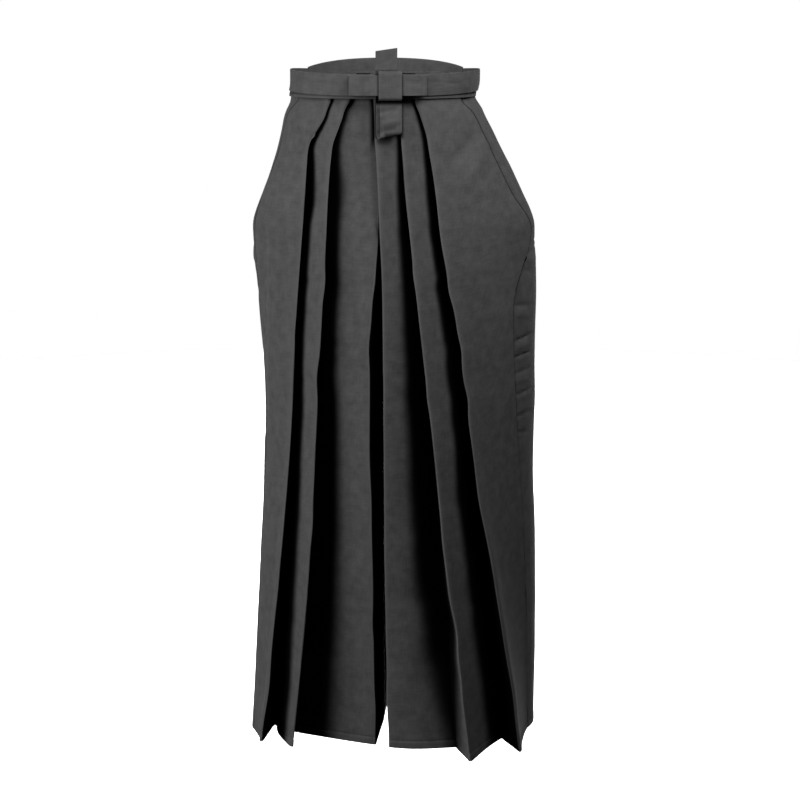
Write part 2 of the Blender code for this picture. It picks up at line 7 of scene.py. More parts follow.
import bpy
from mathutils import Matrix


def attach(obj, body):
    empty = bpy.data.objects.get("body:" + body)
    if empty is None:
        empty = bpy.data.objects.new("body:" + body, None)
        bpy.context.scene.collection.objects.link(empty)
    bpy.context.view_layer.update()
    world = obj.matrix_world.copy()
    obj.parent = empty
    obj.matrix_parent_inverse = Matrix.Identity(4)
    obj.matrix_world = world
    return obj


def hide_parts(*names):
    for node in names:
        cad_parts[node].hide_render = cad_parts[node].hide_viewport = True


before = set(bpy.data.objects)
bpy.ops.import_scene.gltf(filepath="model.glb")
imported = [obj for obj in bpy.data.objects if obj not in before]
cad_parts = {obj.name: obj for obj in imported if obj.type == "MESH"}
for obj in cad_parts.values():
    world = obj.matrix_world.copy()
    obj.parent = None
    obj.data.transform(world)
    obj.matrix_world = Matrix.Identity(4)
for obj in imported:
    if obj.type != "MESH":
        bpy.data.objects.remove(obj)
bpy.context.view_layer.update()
print("nodes:", sorted(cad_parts))

# %% Blender and number tools
import functools
import math

import bpy
import numpy as np

MM = 0.001

# %% [markdown]
# ## The camera
# The photo looks at the front from a little above. A long lens stands well back, so the
# sides of the trousers look nearly parallel. The camera comes first, because every size
# below was judged through it.

# %% Camera
CAMERA_PLACE = (0.0213, -3.4, 0.15)
CAMERA_PITCH = 10.43           # degrees below the horizon
PIXELS = 800                   # side of the square picture
FOCAL_PIXELS = 2305.0
SENSOR = 36.0

camera_data = bpy.data.cameras.new("camera")
camera_data.sensor_width = SENSOR
camera_data.lens = SENSOR * FOCAL_PIXELS / PIXELS
camera = bpy.data.objects.new("camera", camera_data)
camera.location = CAMERA_PLACE
camera.rotation_euler = (math.radians(90 - CAMERA_PITCH), 0, 0)
bpy.context.scene.collection.objects.link(camera)
bpy.context.scene.camera = camera
print("lens", round(camera_data.lens, 1), "mm")

# %% [markdown]
# ## The sizes of the garment
# A tailor works from a few lengths. The panels hang from the waist at 6 mm to the hem at
# -968 mm, where nought is half way up the ties. Each table row below has one value in
# millimetres for each height. "at" is a place across, and "in" is how far inside the
# garment's outline it lies. "ahead" is how far in front of the middle the side edge lies.
# "tuck" is how far a pleat turns back under its own panel, and "shade" is how far beside a
# folded edge the next panel comes out of the dark.

# %% Upright sizes and heights
CLOTH = 0.9 * MM               # wall of the twill
SEAM = 0.3 * MM
FOLD_RADIUS = 1.6 * MM
CLOTH_TOP = 6.0 * MM
HEM = -968.0 * MM
CROTCH = -450.0 * MM
SLIT_TOP = -120.0 * MM
SLIT_FOOT = -205.0 * MM
DROOP_FROM = -700.0 * MM
POWER = 2.3                    # outline between an oval, 2, and a box

#                waist   yoke    seat   flare     hip   thigh    knee    shin     hem
HEIGHTS = (      -24.0,  -45.0, -105.0, -160.0, -215.0, -330.0, -500.0, -720.0, -968.0)

OUTLINE = {
    "right side":  (134.5, 144.5, 160.4, 180.9, 193.5, 186.5, 178.5, 188.6, 202.2),
    "left side":   (133.5, 143.5, 171.9, 200.4, 220.8, 222.4, 220.7, 225.4, 225.5),
    "right ahead": (  0.0,   1.0,   3.0,   5.0,   8.0,  16.0,  26.0,  36.0,  43.0),
    "left ahead":  (  0.0,   1.0,   2.0,   3.0,   4.0,   4.0,   5.0,   5.0,   5.0),
    "front reach": ( 97.5, 101.0, 106.0, 110.0, 114.0, 122.0, 131.0, 141.0, 150.0),
    "back reach":  ( 96.5, 100.0, 106.0, 110.0, 113.0, 114.0, 113.0, 113.0, 115.0),
}
print("from the middle of the ties to the hem:", round(-HEM / MM), "mm")

# %% Folds of the two front panels
RIGHT_FRONT = {
    "side edge at":    (-124.0, -139.0, -155.7, -177.3, -189.9, -184.0, -176.0, -186.0, -199.0),
    "ridge 1 at":      (-75.0, -84.4, -111.8, -115.5, -119.7, -128.5, -137.4, -156.8, -185.1),
    "ridge 1 in":      (1.6, 1.0, 0.0, -2.0, -4.0, -8.0, -12.0, -20.0, -30.0),
    "ridge 1 tuck":    (22.0, 19.0, 15.0, 12.0, 9.0, 6.0, 4.0, -4.0, -17.0),
    "valley 1 in":     (4.8, 9.0, 14.0, 24.0, 30.0, 33.0, 39.0, 48.0, 61.0),
    "ridge 1 shade":   (3.5, 3.5, 17.3, 14.0, 1.0, -5.0, 0.5, 7.0, 23.0),
    "shade 1 in":      (5.6, 5.4, 7.0, 8.0, 8.5, 8.5, 9.0, 11.0, 19.0),
    "ridge 2 at":      (-46.5, -59.0, -77.5, -82.2, -84.9, -91.5, -100.4, -113.3, -137.7),
    "ridge 2 in":      (1.6, 1.0, 0.0, -2.0, -4.0, -8.0, -12.0, -16.0, -20.0),
    "ridge 2 tuck":    (22.0, 19.0, 15.0, 13.0, 11.0, 9.0, 9.0, 10.0, 12.0),
    "valley 2 in":     (10.0, 9.5, 16.0, 25.0, 31.0, 33.5, 39.0, 44.0, 45.0),
    "ridge 2 shade":   (3.5, 4.0, 25.0, 27.0, 11.0, 4.0, 19.0, 28.5, 51.3),
    "shade 2 in":      (6.0, 6.0, 9.5, 13.0, 14.0, 14.5, 17.5, 26.0, 34.0),
    "centre edge at":  (-8.6, -8.6, -8.7, -8.7, -9.7, -19.9, -23.5, -18.8, -15.7),
    "centre edge in":  (8.5, 8.0, 8.0, 6.5, 4.5, 2.5, 3.0, 7.0, 12.5),
}

LEFT_FRONT = {
    "centre edge at":  (-16.0, -15.2, -12.4, -9.3, -6.7, -3.1, -1.9, 0.0, 5.7),
    "centre edge in":  (1.6, 1.0, 0.0, -1.0, -1.0, -1.0, -1.0, 0.0, 0.0),
    "ridge 1 shade":   (3.5, 3.5, 3.4, 2.5, 4.0, 10.0, 28.5, 53.0, 83.0),
    "shade 1 in":      (6.0, 6.0, 7.5, 8.0, 7.5, 6.5, 5.0, -1.5, -15.0),
    "ridge 1 at":      (18.0, 20.4, 25.2, 29.6, 35.7, 48.5, 68.1, 91.5, 123.9),
    "ridge 1 in":      (1.6, 1.0, 0.0, -4.0, -8.0, -17.0, -28.0, -42.0, -60.0),
    "ridge 1 tuck":    (20.0, 18.0, 15.0, 12.0, 10.0, 8.0, 4.0, -6.0, -20.0),
    "valley 1 in":     (10.2, 9.5, 16.0, 22.0, 26.0, 27.0, 27.0, 20.0, -14.0),
    "ridge 2 shade":   (3.5, 5.6, 12.0, 14.0, 8.0, 16.0, 21.4, 37.0, 50.0),
    "shade 2 in":      (6.0, 6.0, 6.0, 4.0, 2.0, -4.0, -13.0, -24.0, -30.0),
    "ridge 2 at":      (40.5, 49.7, 64.4, 73.0, 79.2, 100.6, 123.1, 159.8, 199.0),
    "ridge 2 in":      (1.6, 1.0, 0.0, -4.0, -8.0, -17.0, -28.0, -48.0, -66.0),
    "ridge 2 tuck":    (20.0, 18.0, 15.0, 12.0, 10.0, 8.0, 4.0, -8.0, -26.0),
    "valley 2 in":     (4.8, 9.0, 15.0, 22.0, 26.0, 25.0, 22.0, 12.0, -5.0),
    "side edge at":    (108.0, 125.7, 154.8, 183.1, 212.7, 185.1, 193.0, 207.1, 214.3),
}
print("rows for the front:", len(RIGHT_FRONT), "right and", len(LEFT_FRONT), "left")

# %% The middle seams and the back folds
# "step" sets the right leg's seam behind the left one's, "parting" is half the gap between
INNER = {
    "front seam at":    (3.0, 3.0, 2.0, 0.0, -3.0, -6.0, -4.0, -1.5, 0.6),
    "front seam in":    (8.0, 9.0, 14.0, 22.0, 32.0, 56.0, 92.0, 112.0, 130.0),
    "front seam step":  (2.4, 2.0, 1.5, 0.8, 0.0, 0.0, 0.0, 0.0, 0.0),
    "back seam at":     (0.0, 0.0, 0.0, 0.0, 0.0, 0.0, 0.5, 3.0, 5.0),
    "back seam in":     (4.0, 5.0, 8.0, 14.0, 22.0, 34.0, 50.0, 60.0, 65.0),
    "parting":          (0.25, 0.25, 0.5, 0.6, 0.65, 0.65, 1.6, 3.2, 4.2),
}

BACK = {
    "ridge at":        (26.0, 28.0, 34.0, 40.0, 46.0, 58.0, 70.0, 82.0, 92.0),
    "ridge in":        (1.6, 1.0, 0.0, -2.0, -4.0, -7.0, -10.0, -13.0, -16.0),
    "ridge tuck":      (18.0, 17.0, 15.0, 12.0, 10.0, 8.0, 6.0, 5.0, 4.0),
    "valley in":       (4.8, 8.0, 12.0, 17.0, 21.0, 28.0, 34.0, 40.0, 44.0),
    "ridge shade":     (3.5, 4.0, 8.0, 12.0, 14.0, 18.0, 22.0, 26.0, 30.0),
    "shade in":        (5.6, 6.0, 7.0, 9.0, 10.0, 11.0, 12.0, 14.0, 16.0),
    "centre edge at":  (5.0, 5.0, 5.0, 5.0, 6.0, 7.0, 9.0, 12.0, 14.0),
    "centre edge in":  (3.0, 3.0, 3.0, 3.0, 3.0, 3.0, 3.0, 3.0, 3.0),
}

# How far each folded edge sags at the hem, in millimetres, with less than nought as down
SAG = {"right 1": -0.6, "right 2": -1.0, "centre": -1.0, "left": -8.0, "back": -3.0}
print("rows for the middle and back:", len(INNER), "and", len(BACK))

# %% [markdown]
# ## How a pressed fold wanders
# A pleat that has been worn and folded away is never quite straight. Each row here pushes
# one folded edge sideways at one height, over a spread up and down. Sines would look
# regular, so the pushes are placed one by one. On the two sides a push is outward.

# %% Wander of the folded edges
# edge             height  push  spread
WANDER = (
    ("right ridge 1",  -31,  -3.0,  12),
    ("right ridge 1",  -83,  -2.4,  16),
    ("right ridge 1", -359,  -0.8,  20),
    ("right ridge 1", -885,   2.7,  42),
    ("right ridge 2",  -31,  -4.5,  12),
    ("right ridge 2",  -86,  -1.0,  12),
    ("right ridge 2", -284,   2.0,  22),
    ("right ridge 2", -420,  -2.9,  26),
    ("right ridge 2", -635,   1.5,  30),
    ("right centre",  -285,   1.0,  18),
    ("right centre",  -376,  -2.4,  28),
    ("right centre",  -605,   1.3,  42),
    ("right centre",  -785,  -1.3,  22),
    ("right centre",  -915,   1.3,  28),
    ("left centre",    -80,  -0.8,  16),
    ("left centre",   -440,   0.8,  30),
    ("left centre",   -893,  -1.4,  30),
    ("left ridge 1",  -272,  -1.1,  16),
    ("left ridge 1",  -448,  -1.1,  18),
    ("left ridge 1",  -655,  -0.8,  26),
    ("left ridge 1",  -785,   4.6,  36),
    ("left ridge 1",  -850,   1.6,  24),
    ("left ridge 2",   -24,   2.0,  12),
    ("left ridge 2",   -76,   1.1,  18),
    ("left ridge 2",  -295,  -2.5,  20),
    ("left ridge 2",  -380,   2.2,  18),
    ("left ridge 2",  -450,   2.9,  20),
    ("left ridge 2",  -598,  -3.0,  48),
    ("left ridge 2",  -880,   2.2,  36),
    ("right shade 1",  -95,  -3.5,  16),
    ("right shade 1", -178,   2.0,  18),
    ("right shade 1", -212,  -1.6,  18),
    ("right shade 1", -388,  -1.9,  24),
    ("right shade 1", -478,   2.1,  20),
    ("right shade 1", -545,  -1.8,  16),
    ("right shade 1", -625,   1.7,  30),
    ("right shade 1", -738,  -1.8,  20),
    ("right shade 1", -780,   2.4,  12),
    ("right shade 1", -925,  -1.4,  24),
    ("right shade 2", -138,   5.2,  22),
    ("right shade 2", -208,  -2.4,  24),
    ("right shade 2", -298,   2.2,  20),
    ("right shade 2", -358,  -4.2,  28),
    ("right shade 2", -505,   1.2,  24),
    ("left shade 1",  -216,  -2.1,  16),
    ("left shade 1",  -278,   1.7,  18),
    ("left shade 1",  -450,  -1.8,  18),
    ("left shade 1",  -590,  -1.3,  22),
    ("left shade 1",  -660,   4.2,  16),
    ("left shade 1",  -738,  -4.0,  22),
    ("left shade 1",  -800,   3.0,  14),
    ("left shade 1",  -860,  -8.0,  20),
    ("left shade 1",  -925,   9.0,  22),
    ("left shade 2",  -216,  -2.3,  16),
    ("left shade 2",  -280,   4.1,  12),
    ("left shade 2",  -445,  -1.7,  18),
    ("left shade 2",  -520,   2.1,  20),
    ("left shade 2",  -596,  -1.9,  18),
    ("left shade 2",  -730,  -1.6,  22),
    ("left shade 2",  -762,   2.1,  10),
    ("left shade 2",  -940,   2.3,  24),
    ("right side",     -24,   3.5,  12),
    ("right side",     -51,   1.2,  14),
    ("right side",    -145,  -1.3,  20),
    ("right side",    -205,   1.5,  26),
    ("right side",    -257,   2.6,  18),
    ("right side",    -420,  -1.0,  50),
    ("right side",    -536,   0.7,  30),
    ("right side",    -864,   0.9,  40),
    ("left side",      -21,  -3.8,  12),
    ("left side",      -51,  -1.4,  14),
    ("left side",     -124,   1.1,  20),
    ("left side",     -226,  -1.4,  32),
    ("left side",     -471,   2.0,  40),
    ("left side",     -580,  -1.0,  34),
    ("left side",     -853,   1.5,  44),
)


@functools.lru_cache(maxsize=None)
def wander(edge, z):
    """Sideways push of a folded edge at one height, in metres."""
    push = 0.0
    for name, height, amount, spread in WANDER:
        if name == edge:
            push += amount * MM * math.exp(-((z / MM - height) / spread) ** 2)
    return push


print("pushes:", len(WANDER))

# %% [markdown]
# ## From a table row to a smooth line
# Straight lines between nine heights would leave kinks across the cloth. A cubic that
# never overshoots keeps each fold as calm as the table.

# %% Smooth rows
def curve(t, start, leave, finish, arrive):
    """Cubic between two values, with the slopes that it leaves and arrives with."""
    return ((1 + 2 * t) * (1 - t) ** 2 * start + t * (1 - t) ** 2 * leave
            + t * t * (3 - 2 * t) * finish - t * t * (1 - t) * arrive)


def smooth_row(values):
    """Give a function of height that runs smoothly through one table row."""
    down = -np.array(HEIGHTS) * MM
    row = np.array(values) * MM
    gap = np.diff(down)
    rise = np.diff(row) / gap
    slope = np.zeros(len(row))
    for i in range(1, len(row) - 1):
        if rise[i - 1] * rise[i] > 0:
            near = 2 * gap[i] + gap[i - 1]
            far = gap[i] + 2 * gap[i - 1]
            slope[i] = (near + far) / (near / rise[i - 1] + far / rise[i])
    slope[-1] = rise[-1]

    def at(z):
        depth = min(max(-z, down[0]), down[-1])
        i = min(int(np.searchsorted(down, depth, side="right")) - 1, len(gap) - 1)
        t = (depth - down[i]) / gap[i]
        return float(curve(t, row[i], gap[i] * slope[i], row[i + 1], gap[i] * slope[i + 1]))

    return at


def smooth_table(table):
    return {name: smooth_row(values) for name, values in table.items()}


outline = smooth_table(OUTLINE)
right_front = smooth_table(RIGHT_FRONT)
left_front = smooth_table(LEFT_FRONT)
inner = smooth_table(INNER)
back = smooth_table(BACK)
print("table rows:", len(outline) + len(right_front) + len(left_front) + len(inner) + len(back))

# %% Places on the outline
def side_sizes(z, x):
    """Half width and side place of the outline, on the side where x lies."""
    side = "left" if x > 0 else "right"
    return outline[side + " side"](z) + wander(side + " side", z), -outline[side + " ahead"](z)


def outline_y(z, x, name):
    """Y of the outline's front or back at x."""
    half, side_y = side_sizes(z, x)
    reach = outline[name + " reach"](z) * (-1 if name == "front" else 1)
    share = max(0.0, 1 - min(1.0, abs(x) / half) ** POWER) ** (1 / POWER)
    return side_y + (reach - side_y) * share


def around(z, angle, outset=0.0):
    """A point of the outline. Angle 0 is the front, half a turn is the back."""
    sine, cosine = math.sin(angle), math.cos(angle)
    half, side_y = side_sizes(z, sine)
    name = "front" if cosine > 0 else "back"
    reach = outline[name + " reach"](z) + outset
    x = math.copysign((half + outset) * abs(sine) ** (2 / POWER), sine)
    y = side_y + (-reach - side_y if cosine > 0 else reach - side_y) * abs(cosine) ** (2 / POWER)
    return x, y


def angle_at(z, x, name):
    """The outline's angle where its front or back crosses x."""
    half, _ = side_sizes(z, x)
    turn = math.asin(min(1.0, abs(x) / half) ** (POWER / 2))
    if name == "back":
        turn = math.pi - turn
    return math.copysign(turn, x)


def place(z, x, inside, name, edge=""):
    """A section point: x, y and how far it sags at the hem, if it is a folded edge."""
    toward_middle = 1 if name == "front" else -1
    return np.array([x, outline_y(z, x, name) + toward_middle * inside, SAG.get(edge, 0.0) * MM])


# %% [markdown]
# ## Folding a line of cloth
# Seen from above, a pleated panel is one line that runs out to a folded edge, doubles back
# and runs on. A pressed edge is still round at the size of a thread, so each turn is three
# points about a small radius. Between the turns the cloth bows a little.

# %% Turns and bows
def fold(before, tip, after):
    """Three points that round a folded edge, so that its two layers lie apart."""
    to_before = (before - tip)[:2] / np.linalg.norm((before - tip)[:2])
    to_after = (after - tip)[:2] / np.linalg.norm((after - tip)[:2])
    middle = to_before + to_after
    half_open = math.acos(max(-1.0, min(1.0, float(to_before @ to_after)))) / 2
    across = to_before - to_after
    across = across / np.linalg.norm(across)
    if np.linalg.norm(middle) > 0:
        middle = middle / np.linalg.norm(middle)
    shoulder = middle * FOLD_RADIUS * math.cos(half_open)
    first = np.append(tip[:2] + shoulder + across * FOLD_RADIUS, tip[2])
    last = np.append(tip[:2] + shoulder - across * FOLD_RADIUS, tip[2])
    return [first, tip, last]


KNEE = 2.0                     # how closely a curve keeps to its middle point


def bowed(start, through, end, count):
    """Points between start and end, on a curve that bends sharply near a middle point."""
    points = []
    for i in range(1, count + 1):
        u = i / (count + 1)
        first, middle, last = (1 - u) ** 2, 2 * KNEE * u * (1 - u), u ** 2
        points.append((first * start + middle * through + last * end) / (first + middle + last))
    return points


def straight(start, end, count):
    return [start + (end - start) * i / (count + 1) for i in range(1, count + 1)]


# %% Sections of the front panels
SIDE_STEPS = 7
TUCK_STEPS = 4
CENTRE_TUCK_STEPS = 5


def side_span(z, ridge_at, ridge_in, edge_at, ridge):
    """Points of the outer panel, from its ridge to just before its side edge."""
    points = []
    for i in range(1, SIDE_STEPS):
        t = math.sin(math.pi / 2 * i / SIDE_STEPS)
        x = ridge_at + (edge_at - ridge_at) * t
        points.append(place(z, x, ridge_in * (1 - t) ** 2, "front", ridge))
        points[-1][2] *= 1 - t
    return points


def right_front_section(z):
    """Front panel of the wearer's right leg, from its side edge to the middle."""
    row = {name: at(z) for name, at in right_front.items()}
    at_1 = row["ridge 1 at"] + wander("right ridge 1", z)
    at_2 = row["ridge 2 at"] + wander("right ridge 2", z)
    centre_at = row["centre edge at"] + wander("right centre", z)
    ridge_1 = place(z, at_1, row["ridge 1 in"], "front", "right 1")
    valley_1 = place(z, at_1 - row["ridge 1 tuck"], row["valley 1 in"], "front")
    shade_at = at_1 + row["ridge 1 shade"] + wander("right shade 1", z)
    shade_1 = place(z, shade_at, row["shade 1 in"], "front")
    ridge_2 = place(z, at_2, row["ridge 2 in"], "front", "right 2")
    valley_2 = place(z, at_2 - row["ridge 2 tuck"], row["valley 2 in"], "front")
    shade_at = at_2 + row["ridge 2 shade"] + wander("right shade 2", z)
    shade_2 = place(z, shade_at, row["shade 2 in"], "front")
    centre = place(z, centre_at, row["centre edge in"], "front", "centre")
    seam_at = inner["front seam at"](z) - inner["parting"](z)
    seam_in = inner["front seam in"](z) + inner["front seam step"](z)
    seam = place(z, seam_at, seam_in, "front")
    span = side_span(z, at_1, row["ridge 1 in"], row["side edge at"], "right 1")
    points = [place(z, row["side edge at"], 0, "front")] + span[::-1]
    points += fold(points[-1], ridge_1, valley_1)
    turn_in = fold(ridge_1, valley_1, shade_1)
    turn_out = fold(shade_1, ridge_2, valley_2)
    points += turn_in + bowed(turn_in[-1], shade_1, turn_out[0], TUCK_STEPS) + turn_out
    turn_in = fold(ridge_2, valley_2, shade_2)
    turn_out = fold(shade_2, centre, seam)
    points += turn_in + bowed(turn_in[-1], shade_2, turn_out[0], CENTRE_TUCK_STEPS) + turn_out
    return points + straight(turn_out[-1], seam, 2) + [seam]


def left_front_section(z):
    """Front panel of the wearer's left leg, from the middle to its side edge."""
    row = {name: at(z) for name, at in left_front.items()}
    at_1 = row["ridge 1 at"] + wander("left ridge 1", z)
    at_2 = row["ridge 2 at"] + wander("left ridge 2", z)
    centre_at = row["centre edge at"] + wander("left centre", z)
    seam_at = inner["front seam at"](z) + inner["parting"](z)
    seam = place(z, seam_at, inner["front seam in"](z), "front")
    centre = place(z, centre_at, row["centre edge in"], "front", "centre")
    shade_at = at_1 - row["ridge 1 shade"] + wander("left shade 1", z)
    shade_1 = place(z, shade_at, row["shade 1 in"], "front")
    ridge_1 = place(z, at_1, row["ridge 1 in"], "front", "left")
    valley_1 = place(z, at_1 + row["ridge 1 tuck"], row["valley 1 in"], "front")
    shade_at = at_2 - row["ridge 2 shade"] + wander("left shade 2", z)
    shade_2 = place(z, shade_at, row["shade 2 in"], "front")
    ridge_2 = place(z, at_2, row["ridge 2 in"], "front", "left")
    valley_2 = place(z, at_2 + row["ridge 2 tuck"], row["valley 2 in"], "front")
    turn_out = fold(seam, centre, shade_1)
    turn_in = fold(shade_1, valley_1, ridge_1)
    points = [seam] + straight(seam, turn_out[0], 2) + turn_out
    points += bowed(turn_out[-1], shade_1, turn_in[0], CENTRE_TUCK_STEPS) + turn_in
    turn_out = fold(valley_1, ridge_1, shade_2)
    turn_in = fold(shade_2, valley_2, ridge_2)
    points += turn_out + bowed(turn_out[-1], shade_2, turn_in[0], TUCK_STEPS) + turn_in
    span = side_span(z, at_2, row["ridge 2 in"], row["side edge at"], "left")
    points += fold(valley_2, ridge_2, span[0]) + span
    return points + [place(z, row["side edge at"], 0, "front")]


print("front sections:", len(right_front_section(HEM)), "and", len(left_front_section(HEM)), "points")

# %% Sections of the back panels and gussets
BACK_STEPS = 11
BACK_TUCK_STEPS = 3
SLIT_OVERLAP = 8.0 * MM
SLIT_DEPTH = 4.5 * MM
SLIT_TAPER = 0.25
SLIT_EASE = 2.0 * MM
SLIT_CLOSING = 0.25
GUSSET_EASE = 1.7


def back_section(z, side):
    """Back panel of one leg, side -1 or 1, from the side seam to the middle."""
    row = {name: at(z) for name, at in back.items()}
    edge_at = (left_front if side > 0 else right_front)["side edge at"](z)
    start = angle_at(z, edge_at, "front")
    share = min(1.0, max(0.0, (z - SLIT_FOOT) / (SLIT_TOP - SLIT_FOOT)))
    parted = SEAM + SLIT_EASE * min(1.0, share / SLIT_CLOSING)
    overlap = (SLIT_OVERLAP + parted) * max(0.0, 2 * share - 1) - parted
    small_turn = 0.01
    pace = math.dist(around(z, start), around(z, start + side * small_turn)) / small_turn
    start -= side * overlap / pace
    ridge = place(z, side * row["ridge at"], row["ridge in"], "back", "back")
    valley = place(z, side * (row["ridge at"] + row["ridge tuck"]), row["valley in"], "back")
    shade_at = side * (row["ridge at"] - row["ridge shade"])
    shade = place(z, shade_at, row["shade in"], "back")
    centre = place(z, side * row["centre edge at"], row["centre edge in"], "back", "centre")
    seam_at = inner["back seam at"](z) + side * inner["parting"](z)
    seam = place(z, seam_at, inner["back seam in"](z), "back")
    finish = angle_at(z, side * row["ridge at"], "back")
    points = []
    for i in range(BACK_STEPS):
        t = i / BACK_STEPS
        tucked = SLIT_DEPTH * share * max(0.0, 1 - t / SLIT_TAPER)
        proud = row["ridge in"] * t ** 3
        x, y = around(z, start + (finish - start) * t, -tucked)
        points.append(np.array([x, y - proud, 0.0]))
    turn_out = fold(points[-1], ridge, valley)
    turn_in = fold(ridge, valley, shade)
    turn_end = fold(shade, centre, seam)
    points += turn_out + turn_in + bowed(turn_in[-1], shade, turn_end[0], BACK_TUCK_STEPS)
    return points + turn_end + straight(turn_end[-1], seam, 1) + [seam]


def gusset_section(z, side):
    """Inner leg between the front and back panels, side -1 or 1."""
    parting = side * inner["parting"](z)
    front = place(z, inner["front seam at"](z) + parting, inner["front seam in"](z), "front")
    rear = place(z, inner["back seam at"](z) + parting, inner["back seam in"](z), "back")
    along = (rear - front) / np.linalg.norm(rear - front)
    first = front + along * SEAM * GUSSET_EASE
    last = rear - along * SEAM * GUSSET_EASE
    return [first] + straight(first, last, 2) + [last]


# %% [markdown]
# ## Fine cloth from a coarse line
# The solids have a point every centimetre or two. Cloth in a picture needs one every
# three millimetres, and more at the hem, where stitches pull it. Each section is
# redrawn with a smooth curve through its points, with the same number of new points at
# every height, so that the columns follow the threads.

# %% Finer sections and levels
FINE_STEP = 3.1 * MM
SHORT_STEPS = 3                # new points on each short stretch round a turn
TURN_REACH = 4.0               # a turn bends the cloth beside it this many of its own lengths
PUCKERS_FROM = -225.0 * MM     # the side seams pucker most between these two heights
PUCKERS_TO = -520.0 * MM
UPPER_STEP = 4.8 * MM
PUCKER_STEP = 2.8 * MM
LOWER_STEP = 8.0 * MM
HEM_ROWS_FROM = 22.0 * MM
HEM_ROWS = (20, 16, 13.5, 12, 11, 10, 8.5, 6, 3, 1, 0)


def finer(points, counts, sag_straight=False):
    """Points of a smooth curve through a section's points, counts[k] on stretch k."""
    points = np.array(points)
    length = np.linalg.norm(np.diff(points, axis=0), axis=1)
    chord = np.diff(points, axis=0) / length[:, None]
    way = np.empty_like(points)
    way[0], way[-1] = chord[0], chord[-1]
    before, after = length[:-1, None], length[1:, None]
    way[1:-1] = (chord[:-1] * after + chord[1:] * before) / (before + after)
    leave, arrive = length.copy(), length.copy()
    leave[1:] = np.minimum(length[1:], TURN_REACH * length[:-1])
    arrive[:-1] = np.minimum(length[:-1], TURN_REACH * length[1:])
    drawn = []
    for k, count in enumerate(counts):
        t = (np.arange(count) / count)[:, None]
        drawn.append(curve(t, points[k], leave[k] * way[k], points[k + 1], arrive[k] * way[k + 1]))
        if sag_straight:
            drawn[-1][:, 2:] = points[k, 2] + (points[k + 1, 2] - points[k, 2]) * t
    return np.concatenate(drawn + [points[-1:]])


def stretch_counts(section):
    """How many new points each stretch of a section needs where it is longest."""
    longest = np.zeros(len(section(HEM)) - 1)
    for height in HEIGHTS:
        points = np.array(section(height * MM))
        longest = np.maximum(longest, np.linalg.norm(np.diff(points, axis=0), axis=1))
    return [max(SHORT_STEPS, round(stretch / FINE_STEP)) for stretch in longest]


def fine_levels(top):
    """Heights of the rows, closest beside the puckers of the side seam and at the hem."""
    upper = np.arange(top, PUCKERS_FROM, -UPPER_STEP)
    middle = np.arange(upper[-1] - PUCKER_STEP, PUCKERS_TO, -PUCKER_STEP)
    lower = np.arange(middle[-1] - LOWER_STEP, HEM + HEM_ROWS_FROM, -LOWER_STEP)
    return np.concatenate([upper, middle, lower, HEM + np.array(HEM_ROWS) * MM])


def droop(z):
    """How much of its sag a folded edge shows at this height."""
    return max(0.0, (DROOP_FROM - z) / (DROOP_FROM - HEM)) ** 2


def drape(section, levels):
    """A panel as an array of points: levels down, places across, and x, y, z."""
    counts = stretch_counts(section)
    rows = []
    for z in levels:
        line = finer(section(z), counts, sag_straight=True)
        line[:, 2] = z + line[:, 2] * droop(z)
        rows.append(line)
    return np.array(rows)


print("levels:", len(fine_levels(CLOTH_TOP)))
